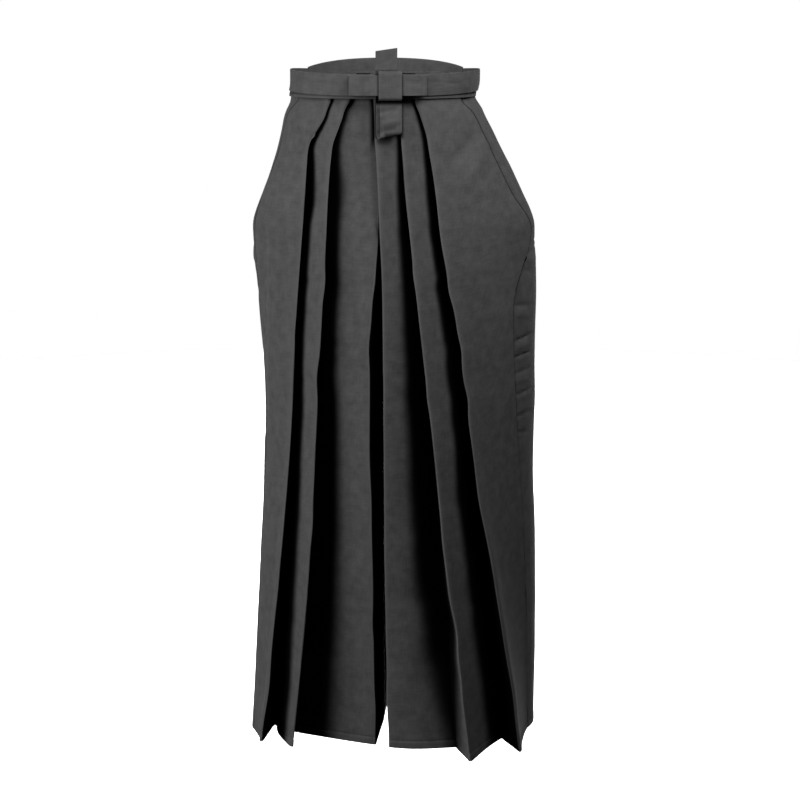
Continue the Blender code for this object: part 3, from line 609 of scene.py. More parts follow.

# %% [markdown]
# ## Creases placed one by one
# Folding and storage leave marks that a smooth surface lacks: bars across the pleats,
# puckers down the seam where the thread is tight, and long soft ridges. Each crease is a
# line with a depth and a width, and pushes the cloth along its own normal. Noise alone
# would look like rock, so the ones that the eye finds are placed singly.

# %% Creases of each piece
# piece          x    z     x    z    push width
CREASES = (
    # Storage bars across the pleats
    ("front_right", -200, -742, -20, -752, -1.1, 3.5),
    ("front_right", -150, -836, -20, -842, -1.0, 3.5),
    ("front_right", -150, -850, -22, -858, 0.5, 6.0),
    ("front_left", 2, -742, 95, -752, -1.1, 3.5),
    ("front_left", 2, -838, 110, -846, -1.0, 3.5),
    ("front_left", 130, -742, 224, -735, -0.5, 6.0),
    ("front_right", -118, -286, -86, -278, -0.8, 7.0),
    ("front_right", -96, -372, -26, -384, -0.6, 8.0),
    ("front_right", -130, -428, -102, -420, -0.6, 8.0),
    ("front_left", 50, -296, 90, -288, -0.7, 8.0),
    ("front_left", 60, -376, 112, -370, -0.7, 8.0),
    # Diagonal pulls from the ties
    ("front_right", -128, -58, -92, -70, 1.3, 3.5),
    ("front_right", -136, -68, -98, -84, -1.6, 3.5),
    ("front_right", -112, -42, -88, -50, -1.2, 3.0),
    ("front_right", -120, -96, -104, -78, -0.9, 3.5),
    ("front_left", 112, -46, 78, -72, 0.9, 5.0),
    ("front_left", 138, -62, 92, -120, -2.4, 8.0),
    ("front_left", 150, -84, 112, -150, 2.2, 8.0),
    ("front_left", 100, -40, 74, -54, -0.6, 4.0),
    ("front_left", 60, -42, 70, -84, -0.6, 5.0),
    # Long soft ridges down the outer panels
    ("front_right", -170, -185, -170, -520, 1.5, 2.8),
    ("front_right", -178, -200, -177, -500, -1.4, 4.0),
    ("front_right", -180, -215, -158, -262, -0.8, 5.0),
    ("front_right", -184, -250, -160, -300, -0.7, 5.0),
    ("front_right", -182, -300, -160, -344, 0.6, 6.0),
    ("front_left", 168, -300, 176, -700, 1.2, 12.0),
    ("front_left", 140, -200, 150, -560, -1.0, 14.0),
    ("front_right", -31, -50, -25, -84, -1.3, 5.0),
    # The bow and the ties
    ("bow_end", -14, -42, 20, -36, -1.6, 4.5),
    ("bow_end", -4, -58, 22, -52, 1.4, 5.0),
    ("bow_end", -14, -50, 0, -44, 1.0, 4.0),
    ("bow_end", -12, -70, 18, -64, -1.2, 4.0),
    ("bow_loops", -46, -10, -20, -12, 0.5, 4.0),
    ("bow_loops", -44, 2, -14, 6, -0.5, 4.0),
    ("bow_loops", 28, 4, 54, 0, -0.5, 4.0),
    ("back_tie", -128, 0, -60, -2, -0.4, 2.0),
    ("back_tie", -122, 6, -70, 4, 0.35, 2.0),
    ("back_tie", 64, 2, 126, -4, -0.4, 2.0),
    ("back_tie", 70, -6, 128, 4, -0.3, 2.0),
    # Puckers beside the left side seam, on the strip that wraps round from the back
    ("front_left", 206, -250, 187, -306, -0.6, 4.0),
    ("left_flank", 196, -238, 222, -232, -1.8, 2.6),
    ("left_flank", 190, -252, 222, -262, 1.4, 4.0),
    ("left_flank", 194, -256, 222, -240, -1.6, 2.6),
    ("left_flank", 190, -272, 221, -276, -1.2, 4.0),
    ("left_flank", 184, -322, 221, -326, -1.6, 3.6),
    ("left_flank", 184, -336, 221, -340, 1.0, 5.0),
    ("left_flank", 186, -376, 221, -366, -2.8, 2.6),
    ("left_flank", 186, -386, 221, -380, 1.4, 4.0),
    ("left_flank", 186, -399, 221, -393, -2.8, 2.2),
    ("left_flank", 186, -424, 221, -416, -2.0, 3.0),
    ("left_flank", 186, -436, 221, -432, 1.2, 4.5),
    ("left_flank", 188, -455, 221, -448, -2.4, 2.6),
    ("left_flank", 188, -488, 221, -480, -2.0, 2.8),
    ("left_flank", 188, -510, 221, -514, -1.6, 3.0),
    ("left_flank", 194, -560, 221, -566, -0.9, 6.0),
    ("left_flank", 196, -706, 224, -714, -1.6, 7.0),
    ("left_flank", 197, -738, 224, -734, -1.6, 7.0),
    # The same, fainter, on the right side
    ("right_flank", -196, -236, -178, -244, -0.9, 4.0),
    ("right_flank", -196, -262, -176, -280, -0.9, 4.0),
    ("right_flank", -192, -300, -175, -326, -0.8, 4.0),
    ("right_flank", -190, -392, -174, -402, -0.7, 4.0),
    ("right_flank", -186, -520, -172, -512, -0.6, 4.0),
    ("right_flank", -190, -712, -178, -716, -0.7, 4.0),
    # The back: storage bars, and pulls from the board's ends
    ("back_right", -186, -742, -14, -752, -0.8, 5.0),
    ("back_right", -190, -838, -14, -846, -0.7, 5.0),
    ("back_right", -170, -366, -60, -380, -0.6, 7.0),
    ("back_right", -122, -46, -80, -96, 0.9, 6.0),
    ("back_right", -108, -40, -74, -64, -0.8, 5.0),
    ("back_right", -60, -120, -66, -420, 1.0, 12.0),
    ("back_right", -150, -220, -156, -640, -1.0, 14.0),
    ("back_left", 14, -740, 214, -750, -0.8, 5.0),
    ("back_left", 14, -836, 214, -846, -0.7, 5.0),
    ("back_left", 60, -384, 196, -372, -0.6, 7.0),
    ("back_left", 120, -48, 84, -92, 0.9, 6.0),
    ("back_left", 104, -40, 72, -66, -0.8, 5.0),
    ("back_left", 66, -130, 74, -440, 1.0, 12.0),
    ("back_left", 160, -240, 170, -660, -1.0, 14.0),
)


def crease_push(piece, x, z):
    """Sum of the pushes of one piece's creases at places x, z, in metres."""
    push = np.zeros_like(x)
    for name, x0, z0, x1, z1, amount, width in CREASES:
        if name != piece:
            continue
        along_x, along_z = (x1 - x0) * MM, (z1 - z0) * MM
        length_2 = along_x ** 2 + along_z ** 2
        t = np.clip(((x - x0 * MM) * along_x + (z - z0 * MM) * along_z) / length_2, 0, 1)
        away = np.hypot(x - x0 * MM - t * along_x, z - z0 * MM - t * along_z)
        taper = 1 - (2 * t - 1) ** 4
        push += amount * MM * taper * np.exp(-(away / (width * MM)) ** 2)
    return push


print("creases:", len(CREASES))

# %% Pushing cloth along its normals
HEM_DEPTH = 11.0 * MM          # the hem is turned up this far and stitched
HEM_STEP = 0.35 * MM           # and stands out this much
STITCH_PULL = 0.6 * MM
STITCH_WIDTH = 1.6 * MM
UNEVEN = 0.45 * MM             # height of the long soft waves all over
SIDEWAYS_SHARE = 0.25          # share of a crease that shows on cloth that faces sideways
FACING_GAIN = 1.5              # and how fast it grows as the cloth turns to face outward
FLANK_TO = 20.0 * MM           # the back panels wrap round to the front as far back as this


def normals(points):
    """Unit normals of an array of points, from its neighbours across and down."""
    across = np.gradient(points, axis=1)
    down = np.gradient(points, axis=0)
    normal = np.cross(across, down)
    return normal / np.linalg.norm(normal, axis=2, keepdims=True)


def soft_waves(x, z, seed):
    """Uneven waves a few centimetres long and about 1 high, from x and z in millimetres."""
    broad = np.sin(x / 23 + seed + np.sin(z / 90)) * np.sin(z / 71 + seed)
    slanting = np.sin(z / 37 + x / 50 + 2 * seed)
    short = np.sin(z / 19 - x / 30)
    return broad + 0.7 * slanting + 0.5 * short


def crease(points, piece, outward, levels):
    """Push a panel's cloth at its creases, waves and hem. Outward is 1 or -1."""
    normal = normals(points) * outward
    x, y, z = points[..., 0], points[..., 1], points[..., 2]
    facing = (normal[..., 0] * x + normal[..., 1] * y) / np.hypot(x, y)
    shown = np.clip(SIDEWAYS_SHARE + FACING_GAIN * facing, 0, 1)
    placed = crease_push(piece, x, z)
    if "back" in piece:
        flank = piece.replace("back_", "") + "_flank"
        placed = np.where(y < FLANK_TO, crease_push(flank, x, z), placed)
    push = shown * (placed + UNEVEN * soft_waves(x / MM, z / MM, len(piece)))
    above_hem = (levels - HEM)[:, None]
    push = push + HEM_STEP * (above_hem < HEM_DEPTH)
    push = push - STITCH_PULL * np.exp(-((above_hem - HEM_DEPTH) / STITCH_WIDTH) ** 2)
    return points + normal * push[..., None]


print("hem turned up", round(HEM_DEPTH / MM), "mm")

# %% [markdown]
# ## Painted shade in the folds and painted highlights on the edges
# The colour is painted blackest deep in a fold, as painted shade, and a little greyer
# along each pressed edge, as a painted highlight. Two numbers are worked out for each
# point, and the cloth's colour follows them: how much of the open air it sees across its
# own row, and how sharply the cloth turns outward there. The studio alone would leave the
# pleats dark grey. The black in them is painted shade in the colour, so it stays from every side.

# %% Openness, painted shade and painted highlight
HIGHLIGHT_REACH = 2.5 * MM
SKY_REACH = 90 * MM            # cloth further off than this shades nothing
NEAREST = 0.03 * MM            # keeps a point's nought distance to itself out of a division
ROW_SKIP = 3                   # openness is worked out on every third row
SHUT, OPEN = 0.50, 0.64        # below the first no light gets in, above the second all does


def smooth_step(t):
    t = np.clip(t, 0, 1)
    return t * t * (3 - 2 * t)


def openness(points, neighbours, outward):
    """Share of the open air that each point sees across its row, from 0 to 1."""
    normal = normals(points) * outward
    rows = list(range(0, len(points) - 1, ROW_SKIP)) + [len(points) - 1]
    share = np.empty((len(rows), points.shape[1]))
    for k, row in enumerate(rows):
        gap = neighbours[row][None, :, :2] - points[row][:, None, :2]
        up = normal[row][:, None, :2]
        far = np.linalg.norm(gap, axis=2) + NEAREST
        rise = np.sum(gap * up, axis=2) / far
        beyond = gap[..., 0] * up[..., 1] - gap[..., 1] * up[..., 0]
        rise = rise * np.clip(2 - far / SKY_REACH, 0, 1)
        left = np.max(np.where(beyond < 0, rise, 0), axis=1)
        right = np.max(np.where(beyond > 0, rise, 0), axis=1)
        share[k] = 1 - (left + right) / 2
    every = np.arange(len(points))
    filled = [np.interp(every, rows, share[:, column]) for column in range(points.shape[1])]
    return np.array(filled).T


# Its result lightens the colour along pressed edges, as a painted highlight
def highlight_on_edges(points, outward):
    """How sharply each point stands out of its row, from 0 on flat cloth to 1 on a fold."""
    edge_highlight = np.empty(points.shape[:2])
    normal = normals(points) * outward
    for k, row in enumerate(points):
        length = np.concatenate([[0], np.cumsum(np.linalg.norm(np.diff(row, axis=0), axis=1))])
        back_there = [np.interp(length - HIGHLIGHT_REACH, length, row[:, i]) for i in range(3)]
        further_on = [np.interp(length + HIGHLIGHT_REACH, length, row[:, i]) for i in range(3)]
        stands_out = row - (np.array(back_there) + np.array(further_on)).T / 2
        edge_highlight[k] = np.sum(stands_out * normal[k], axis=1) / (HIGHLIGHT_REACH / 2)
    return np.clip(edge_highlight, 0, 1)


print("no light below", SHUT, "of the open air, and all of it above", OPEN)

# %% [markdown]
# ## Shade where one layer lies on another
# Along the foot of the ties and round the bow, one layer stands on the next and shades a
# thin line of it. Each row below is the box, seen from the front, of the layer on top, how
# far its shade reaches over the layer under it, and the share of light that is left there.

# %% Shade beside the layers on top
# layer under       x     z    to x     z   reach  left
COVERS = (
    ("front_panel",  -200, -22.5,  200,  50.0,  2.5, 0.60),
    ("front_panel",   -13, -76.0,   24, -20.0,  4.5, 0.25),
    ("front_tie",    -200, -18.0,   70,  50.0,  1.6, 0.55),
    ("front_tie",      70, -16.5,  200,  50.0,  2.4, 0.35),
    ("back_tie",      -51, -17.5,   59,   8.0,  2.6, 0.50),
    ("bow_loops",      -9, -23.5,   24,  16.5,  3.0, 0.35),
    ("bow_end",       -14, -27.0,   24,   0.0,  6.0, 0.00),
    ("bow_end",       -14,   0.0,   24,  16.5,  4.0, 0.45),
    ("bow_end",         2, -82.0,   24, -73.0,  6.0, 0.30),
)


def beside(points, piece):
    """Share of light left beside the layers on top of a piece. The least is in the table."""
    share = np.ones(points.shape[:2])
    x, y, z = points[..., 0] / MM, points[..., 1], points[..., 2] / MM
    for name, x0, z0, x1, z1, reach, least in COVERS:
        if name != piece:
            continue
        away = np.hypot(np.clip(x0 - x, 0, None) + np.clip(x - x1, 0, None),
                        np.clip(z0 - z, 0, None) + np.clip(z - z1, 0, None))
        lit = least + (1 - least) * smooth_step(away / reach)
        share = np.where(y < 0, np.minimum(share, lit), share)
    return share


print("layers that shade another:", len(COVERS))

# %% [markdown]
# ## Where the lap lies flat
# Between the bow and the hips the left leg's middle panel lies flat on the right one and
# hardly shades it. Below and above, it stands off and the panel under it goes dark. What a
# point sees across its row can't tell these apart, so the table says where it lies flat.

# %% Light on the flat lap
# height  least share of light on the right front panel beside the left one's middle edge
LAP_LIT = (
    (  20, 0.00),
    ( -80, 0.00),
    (-100, 0.90),
    (-195, 0.90),
    (-222, 0.00),
    (-968, 0.00),
)
LAP_REACH = 14 * MM


def on_lap(points, edge, levels):
    """Least share of light on the panel under the lap, where the lap lies flat on it."""
    heights, shares = zip(*[(row[0] * MM, row[1]) for row in LAP_LIT[::-1]])
    least = np.interp(levels, heights, shares)[:, None]
    away = np.abs(points[..., 0] - edge[:, None, 0])
    facing_front = points[..., 1] < edge[:, None, 1] + LAP_REACH
    return least * smooth_step(2 - away / LAP_REACH) * facing_front


print("the lap's light reaches", round(LAP_REACH / MM), "mm")

# %% [markdown]
# ## The side seams
# The front panel's side edge is sewn over the back panel, and the step between them shows
# as a thin dark line, plainest above the hip. The step itself is too small to see from
# here, so the line is drawn as shade on the panel underneath.

# %% Shade along the side seams
# height  right  left     how much light the seam's line loses, of 1
SEAM_SHADE = (
    (   0,  0.80, 0.90),
    (-200,  0.80, 0.90),
    (-228,  0.45, 0.55),
    (-280,  0.30, 0.45),
    (-480,  0.25, 0.40),
    (-560,  0.20, 0.25),
    (-968,  0.20, 0.25),
)
SEAM_LINE = 1.5 * MM
SEAM_REACH = 9 * MM


def beside_seam(points, edge, column, levels):
    """Share of light left on a back panel along the front panel's side edge."""
    heights, strengths = zip(*[(row[0] * MM, row[column]) for row in SEAM_SHADE[::-1]])
    strength = np.interp(levels, heights, strengths)[:, None]
    away = np.linalg.norm(points[..., :2] - edge[:, None, :2], axis=2)
    sideways = points[..., 0] - edge[:, None, 0]
    near = smooth_step(2 - away / SEAM_REACH)
    return 1 - strength * near * np.exp(-(sideways / SEAM_LINE) ** 2)


print("seam line:", SEAM_LINE / MM, "mm wide")

# %% [markdown]
# ## Making a sheet
# A plane grid is the nearest primitive to cloth: it has threads both ways. It is added with
# as many squares as the panel has points, and then each corner is moved to its place. Its
# texture map is laid out in metres along the threads, so a weave keeps its true size.
# Solidify gives the wall.

# %% Grid to cloth
WELD = 0.01 * MM               # points of a closed band that are nearer than this are one
SHARP = math.radians(50)       # a wall's edge turns more than this, and a fold less
EDGE_STEPS = 3


def add_sheet(name, points, wall, round_edge=0.0, closed=False, painted_light=1.0, edge_highlight=0.0):
    """One piece of cloth from an array of points: rows, columns, and x, y, z."""
    rows, columns = points.shape[:2]
    bpy.ops.object.select_all(action="DESELECT")
    bpy.ops.mesh.primitive_grid_add(x_subdivisions=columns - 1, y_subdivisions=rows - 1, size=1.0)
    piece = bpy.context.object
    piece.name = name
    piece.data.name = name
    piece.data.vertices.foreach_set("co", points.reshape(-1))
    steps = np.linalg.norm(np.diff(points, axis=1), axis=2)
    along = np.concatenate([np.zeros((rows, 1)), np.cumsum(steps, axis=1)], axis=1)
    drop = np.linalg.norm(np.diff(points, axis=0), axis=2)
    down = np.concatenate([np.zeros((1, columns)), np.cumsum(drop, axis=0)], axis=0)
    corner = np.empty(len(piece.data.loops), dtype=np.int64)
    piece.data.loops.foreach_get("vertex_index", corner)
    spots = np.stack([along.reshape(-1)[corner], -down.reshape(-1)[corner]], axis=1)
    piece.data.uv_layers[0].data.foreach_set("uv", spots.reshape(-1).astype(np.float32))
    # Painted shade and painted highlight, kept on the points for the material
    for mark, values in (("open", painted_light), ("edge_highlight", edge_highlight)):
        values = np.broadcast_to(values, (rows, columns)).reshape(-1).astype(np.float32)
        piece.data.attributes.new(mark, "FLOAT", "POINT").data.foreach_set("value", values)
    piece.data.update()
    if closed:
        bpy.ops.object.mode_set(mode="EDIT")
        bpy.ops.mesh.select_all(action="SELECT")
        bpy.ops.mesh.remove_doubles(threshold=WELD)
        bpy.ops.object.mode_set(mode="OBJECT")
    shell = piece.modifiers.new("wall", "SOLIDIFY")
    shell.thickness = wall
    shell.offset = 0.0
    shell.use_even_offset = True
    bpy.ops.object.modifier_apply(modifier=shell.name)
    if round_edge:
        edge = piece.modifiers.new("edge", "BEVEL")
        edge.width = round_edge
        edge.segments = EDGE_STEPS
        edge.limit_method = "ANGLE"
        edge.angle_limit = SHARP
        bpy.ops.object.modifier_apply(modifier=edge.name)
    bpy.ops.object.shade_smooth_by_angle(angle=SHARP)
    piece.location = (0, 0, 0)
    area = float(np.sum(steps[:-1] * (drop[:, :-1] + drop[:, 1:]) / 2))
    print(name, f"{rows} x {columns},", len(piece.data.polygons), "faces,", round(area, 3), "m2")
    return piece


# %% [markdown]
# ## The four panels
# The real garment is ten widths of cloth, sewn into front and back panels. Here each panel
# is one sheet. All four are draped before any is built, because they shade one another.

# %% Drape the four panels
levels = fine_levels(CLOTH_TOP)
# Section, and the sign that turns its normals outward
PANEL_SECTIONS = {
    "front_right": (right_front_section, -1),
    "front_left": (left_front_section, -1),
    "back_right": (lambda z: back_section(z, -1), 1),
    "back_left": (lambda z: back_section(z, 1), -1),
}
draped = {}
for name, (section, outward) in PANEL_SECTIONS.items():
    points = drape(section, levels)
    draped[name] = crease(points, name, outward, levels)
print("draped:", {name: panel.shape[:2] for name, panel in draped.items()})

# %% Shade and build the four panels
FLANK_LIT = 0.5                # least light on the strips that wrap round to the front

pieces = {}
neighbours = np.concatenate([panel[:, ::2] for panel in draped.values()], axis=1)
for name, (section, outward) in PANEL_SECTIONS.items():
    points = draped[name]
    # Share of light painted into the colour: painted shade in the folds, beside the lap and the layers
    # on top, and along the side seams
    share = smooth_step((openness(points, neighbours, outward) - SHUT) / (OPEN - SHUT))
    if name == "front_right":
        lap_edge = draped["front_left"][:, np.argmin(draped["front_left"][0, :, 0])]
        share = np.maximum(share, on_lap(points, lap_edge, levels))
    share = share * beside(points, name.split("_")[0] + "_panel")
    if "back" in name:
        share = np.where(points[..., 1] < FLANK_TO, np.maximum(share, FLANK_LIT), share)
    if name == "back_right":
        share = share * beside_seam(points, draped["front_right"][:, 0], 1, levels)
    elif name == "back_left":
        share = share * beside_seam(points, draped["front_left"][:, -1], 2, levels)
    pieces[name] = add_sheet(name + "_panel", points, CLOTH, painted_light=share,
                             edge_highlight=highlight_on_edges(points, outward))

# %% [markdown]
# ## The gussets
# A gusset fills the gap between the front and back panels from the crotch to the hem, and
# gives room to stride. It is hardly seen, so it is a flat sheet between the two seams.

# %% The two gussets
GUSSET_LIT = 0.5               # it lies between the legs, in half light

gusset_levels = levels[levels < CROTCH]
for side, name in ((-1, "gusset_right"), (1, "gusset_left")):
    points = drape(lambda z: gusset_section(z, side), gusset_levels)
    pieces[name] = add_sheet(name + "_panel", points, CLOTH, painted_light=GUSSET_LIT)

# %% [markdown]
# ## Ties, board and bow
# The ties are strips folded from four layers and pressed, so they are thicker than the
# cloth and their edges are round. The board is stiffened, so it is thicker still, and its
# top edge is curved. All of them share the waist's outline, each moved out by the layers
# under it, because bands made singly would cut into one another where the waist turns.

# %% Sizes of the ties and board
PLAIN_CLOTH = 1.5 * MM         # the wall that the layers are counted from
TIE_CLOTH = 1.6 * MM
BOARD = 3.0 * MM
TIE_WIDTH = 31.0 * MM
TIE_EASE = 0.5 * MM
FRONT_TIE_OUTSET = PLAIN_CLOTH / 2 + TIE_EASE + TIE_CLOTH / 2
BACK_TIE_OUTSET = FRONT_TIE_OUTSET + TIE_CLOTH + SEAM
BOARD_OUTSET = FRONT_TIE_OUTSET + TIE_CLOTH / 2 + SEAM + BOARD / 2
FRONT_TIE_FOOT = -22.5 * MM
BACK_TIE_FOOT = -18.5 * MM
BACK_TIE_RISE = 4.0 * MM
BOARD_FOOT = -26.0 * MM
BOARD_FOOT_RISE = 7.5 * MM
BOARD_END_TOP = 16.5 * MM
BOARD_CROWN = 12.5 * MM
BOARD_HALF_ANGLE = 2 * math.pi * 9 / 60
TIE_TURN_STEPS = 240
BACK_TIE_STEPS = 168
BOARD_STEPS = 72
TIE_ROWS = 25
TIE_EDGE = 0.6 * MM
BOARD_EDGE = 1.1 * MM


def band(angles, outset, foot, top):
    """Rows of a band round the waist. Foot and top are functions of the angle."""
    rows = []
    for k in range(TIE_ROWS):
        share = k / (TIE_ROWS - 1)
        row = []
        for angle in angles:
            z = foot(angle) + (top(angle) - foot(angle)) * share
            x, y = around(min(z, CLOTH_TOP), angle, outset)
            row.append((x, y, z))
        rows.append(row)
    return np.array(rows)


def press_creases(points, piece):
    """Push the front of a tie or of the bow forward at its creases."""
    push = crease_push(piece, points[..., 0], points[..., 2])
    points[..., 1] -= push * (points[..., 1] < 0)


# %% The two ties
turn = np.linspace(-math.pi, math.pi, TIE_TURN_STEPS + 1)
points = band(turn, FRONT_TIE_OUTSET, lambda a: FRONT_TIE_FOOT, lambda a: FRONT_TIE_FOOT + TIE_WIDTH)
pieces["front_tie"] = add_sheet("front_tie_band", points, TIE_CLOTH, TIE_EDGE, closed=True,
                                painted_light=beside(points, "front_tie"))


def back_tie_foot(angle):
    """The back tie's lower edge, highest at the sides."""
    return BACK_TIE_FOOT + BACK_TIE_RISE * min(1.0, abs(math.sin(angle))) ** 3


gap = 2 * SEAM / outline["back reach"](0.0)
end = math.pi - BOARD_HALF_ANGLE - gap
turn = np.linspace(-end, end, BACK_TIE_STEPS)
points = band(turn, BACK_TIE_OUTSET, back_tie_foot, lambda a: back_tie_foot(a) + TIE_WIDTH)
press_creases(points, "back_tie")
pieces["back_tie"] = add_sheet("back_tie_band", points, TIE_CLOTH, TIE_EDGE,
                               painted_light=beside(points, "back_tie"))


# %% The board
def board_foot(angle):
    return BOARD_FOOT + BOARD_FOOT_RISE * ((angle - math.pi) / BOARD_HALF_ANGLE) ** 4


def board_top(angle):
    return BOARD_END_TOP + BOARD_CROWN * (1 - ((angle - math.pi) / BOARD_HALF_ANGLE) ** 2)


turn = np.linspace(math.pi - BOARD_HALF_ANGLE, math.pi + BOARD_HALF_ANGLE, BOARD_STEPS)
points = band(turn, BOARD_OUTSET, board_foot, board_top)
pieces["koshi_board"] = add_sheet("back_board", points, BOARD, BOARD_EDGE)

# %% [markdown]
# ## The bow
# The tie's end is folded to and fro into two flat loops, and a last turn binds them, stands
# up above and hangs down in a loop below. Each is a flat ring or strip that is swept along
# the front of the waist, because a folded strip keeps its width.

# %% Sizes of the bow
BOW_LAYER = TIE_CLOTH + SEAM
BOW_END_OUTSET = BACK_TIE_OUTSET + BOW_LAYER
KNOT_NEAR_OUTSET = BOW_END_OUTSET + BOW_LAYER
LOOPS_NEAR_OUTSET = KNOT_NEAR_OUTSET + BOW_LAYER
LOOP_FILL = 5.2 * MM
LOOPS_FROM = -51.0 * MM
LOOPS_TO = 59.0 * MM
LOOPS_FOOT = -17.5 * MM
LOOPS_HEIGHT = 29.0 * MM
KNOT_FROM = -9.0 * MM
KNOT_TO = 24.0 * MM
KNOT_FOOT = -23.5 * MM
KNOT_TOP = 16.5 * MM
CORNER_SHARE = 0.9
LOOPS_CORNER_STEPS = 5
KNOT_CORNER_STEPS = 6
#                height    out  middle
BOW_END_DOWN = (( 47.5,    2.5,    2.0),
                ( 30.0,    0.6,    2.0),
                ( 16.0,    0.0,    2.0),
                (-20.0,    0.0,    2.5),
                (-45.0,    1.6,    3.0))
BOW_END_UP = ((-50.0,   10.8,    8.5),
              (-26.5,    9.8,    8.5))
END_SLANT = 4.5 * MM           # the standing end is cut aslant, from the next height up
END_SLANT_FROM = 30.0 * MM
END_SLANT_OVER = 17.5 * MM
END_FOOT_SLANT = 6.5 * MM      # and the hanging loop turns aslant, from the next height down
END_FOOT_SLANT_FROM = -42.0 * MM
END_FOOT_SLANT_OVER = 33.0 * MM
END_FOOT = -75.0
END_TURN_OUT = 4.0
END_TURN_RADIUS = 3.2
END_TURN_SHIFT = (3.5, 8.3)
END_TURN_STEPS = 6
BOW_STEP = 1.5 * MM
BOW_WALL = 1.5 * MM
BOW_EDGE = 0.5 * MM
BOW_ROWS = 24


def front_of_waist(x, outset):
    """Y of the waist's front at x, moved out."""
    angle = angle_at(CLOTH_TOP, x, "front") if x else 0.0
    return around(CLOTH_TOP, angle, outset)[1]


def rounded_ring(near, far, low, high, corner_steps):
    """Points round a flat ring with rounded corners: outset, and place between low and high."""
    radius = CORNER_SHARE * min(far - near, high - low) / 2
    centres = ((near + radius, low + radius, 180), (far - radius, low + radius, 270),
               (far - radius, high - radius, 0), (near + radius, high - radius, 90))
    ring = []
    for outset, height, start in centres:
        for i in range(corner_steps + 1):
            turn = math.radians(start + 90 * i / corner_steps)
            ring.append((outset + radius * math.cos(turn), height + radius * math.sin(turn)))
    return ring


def closed_run(ring, step):
    """A ring's points with more along its long sides, and the first one again at the end."""
    ring = np.array(ring)
    run = []
    for start, stop in zip(ring, np.roll(ring, -1, axis=0)):
        count = max(1, round(np.linalg.norm(stop - start) / step))
        run += [start + (stop - start) * k / count for k in range(count)]
    return np.array(run + [ring[0]])


print("the bow stands out", round((LOOPS_NEAR_OUTSET + LOOP_FILL) / MM, 1), "mm")

# %% The side loops
LOOPS_FAR_OUTSET = LOOPS_NEAR_OUTSET + LOOP_FILL

ring = rounded_ring(LOOPS_NEAR_OUTSET, LOOPS_FAR_OUTSET, LOOPS_FROM, LOOPS_TO, LOOPS_CORNER_STEPS)
run = closed_run(ring, BOW_STEP)
rows = []
for k in range(BOW_ROWS + 1):
    height = LOOPS_FOOT + LOOPS_HEIGHT * k / BOW_ROWS
    rows.append([(x, front_of_waist(x, outset), height) for outset, x in run])
points = np.array(rows)
press_creases(points, "bow_loops")
pieces["bow_loops"] = add_sheet("bow_side_loops", points, BOW_WALL, BOW_EDGE, closed=True,
                                painted_light=beside(points, "bow_loops"))

# %% The band round the middle
KNOT_FAR_OUTSET = LOOPS_FAR_OUTSET + BOW_LAYER

ring = rounded_ring(KNOT_NEAR_OUTSET, KNOT_FAR_OUTSET, KNOT_FOOT, KNOT_TOP, KNOT_CORNER_STEPS)
run = closed_run(ring, BOW_STEP)
rows = []
for k in range(BOW_ROWS + 1):
    x = KNOT_FROM + (KNOT_TO - KNOT_FROM) * k / BOW_ROWS
    rows.append([(x, front_of_waist(x, outset), height) for outset, height in run])
pieces["bow_knot"] = add_sheet("bow_knot_band", np.array(rows), BOW_WALL, BOW_EDGE, closed=True)

# %% The end that stands up and hangs down
route = list(BOW_END_DOWN)
for i in range(END_TURN_STEPS + 1):
    t = i / END_TURN_STEPS
    half_turn = math.pi * (1 + t)
    route.append((END_FOOT + END_TURN_RADIUS * (1 + math.sin(half_turn)),
                  END_TURN_OUT + END_TURN_RADIUS * (1 + math.cos(half_turn)),
                  END_TURN_SHIFT[0] + (END_TURN_SHIFT[1] - END_TURN_SHIFT[0]) * t))
route = np.array(route + list(BOW_END_UP)) * MM
lengths = np.linalg.norm(np.diff(route, axis=0), axis=1)
route = finer(route, [max(2, round(length / BOW_STEP)) for length in lengths])
rows = []
for height, out, middle in route:
    slant = END_SLANT * max(0.0, (height - END_SLANT_FROM) / END_SLANT_OVER)
    low_share = (END_FOOT_SLANT_FROM - height) / END_FOOT_SLANT_OVER
    slant += END_FOOT_SLANT * min(1.0, max(0.0, low_share))
    row = []
    for k in range(BOW_ROWS + 1):
        off_middle = k / BOW_ROWS - 0.5
        x = middle + TIE_WIDTH * off_middle
        row.append((x, front_of_waist(x, BOW_END_OUTSET + out), height + slant * off_middle))
    rows.append(row)
points = np.array(rows)
press_creases(points, "bow_end")
pieces["bow_end"] = add_sheet("bow_hanging_end", points, BOW_WALL, BOW_EDGE,
                              painted_light=beside(points, "bow_end"))

# %% [markdown]
# ## Black twill
# The cloth is a close twill of polyester and rayon: neutral black, matt, with a faint bloom
# where its surface turns away. Twill has diagonal ribs about half a millimetre apart, too
# fine to show here, so they are drawn three times as coarse, and so are its threads. An
# image of cloth would repeat and blur, so all of it is worked out in the shader.

# %% Colour and node helpers
MIX_INPUTS = (0, 6, 7)         # a mix node's factor and its two colours
MIX_OUTPUT = 2


def linear(code):
    """Linear colour of an sRGB hex code."""
    values = []
    for i in (0, 2, 4):
        v = int(code[i:i + 2], 16) / 255
        values.append(v / 12.92 if v <= 0.04045 else ((v + 0.055) / 1.055) ** 2.4)
    return (*values, 1.0)


def add_node(tree, kind, links=(), **settings):
    """Add a node. Links are (input, node, output), settings are properties or inputs."""
    node = tree.nodes.new(kind)
    for name, value in settings.items():
        if hasattr(node, name):
            setattr(node, name, value)
        else:
            node.inputs[name.replace("_", " ")].default_value = value
    for target, source, output in links:
        tree.links.new(source.outputs[output], node.inputs[target])
    return node


def mixed(tree, factor, first, second):
    """A colour mix. Factor, first and second are sockets, or plain values."""
    node = add_node(tree, "ShaderNodeMix", data_type="RGBA")
    for number, value in zip(MIX_INPUTS, (factor, first, second)):
        if isinstance(value, bpy.types.NodeSocket):
            tree.links.new(value, node.inputs[number])
        else:
            node.inputs[number].default_value = value
    return node.outputs[MIX_OUTPUT]


print("mid grey in linear light:", round(linear("808080")[0], 3))

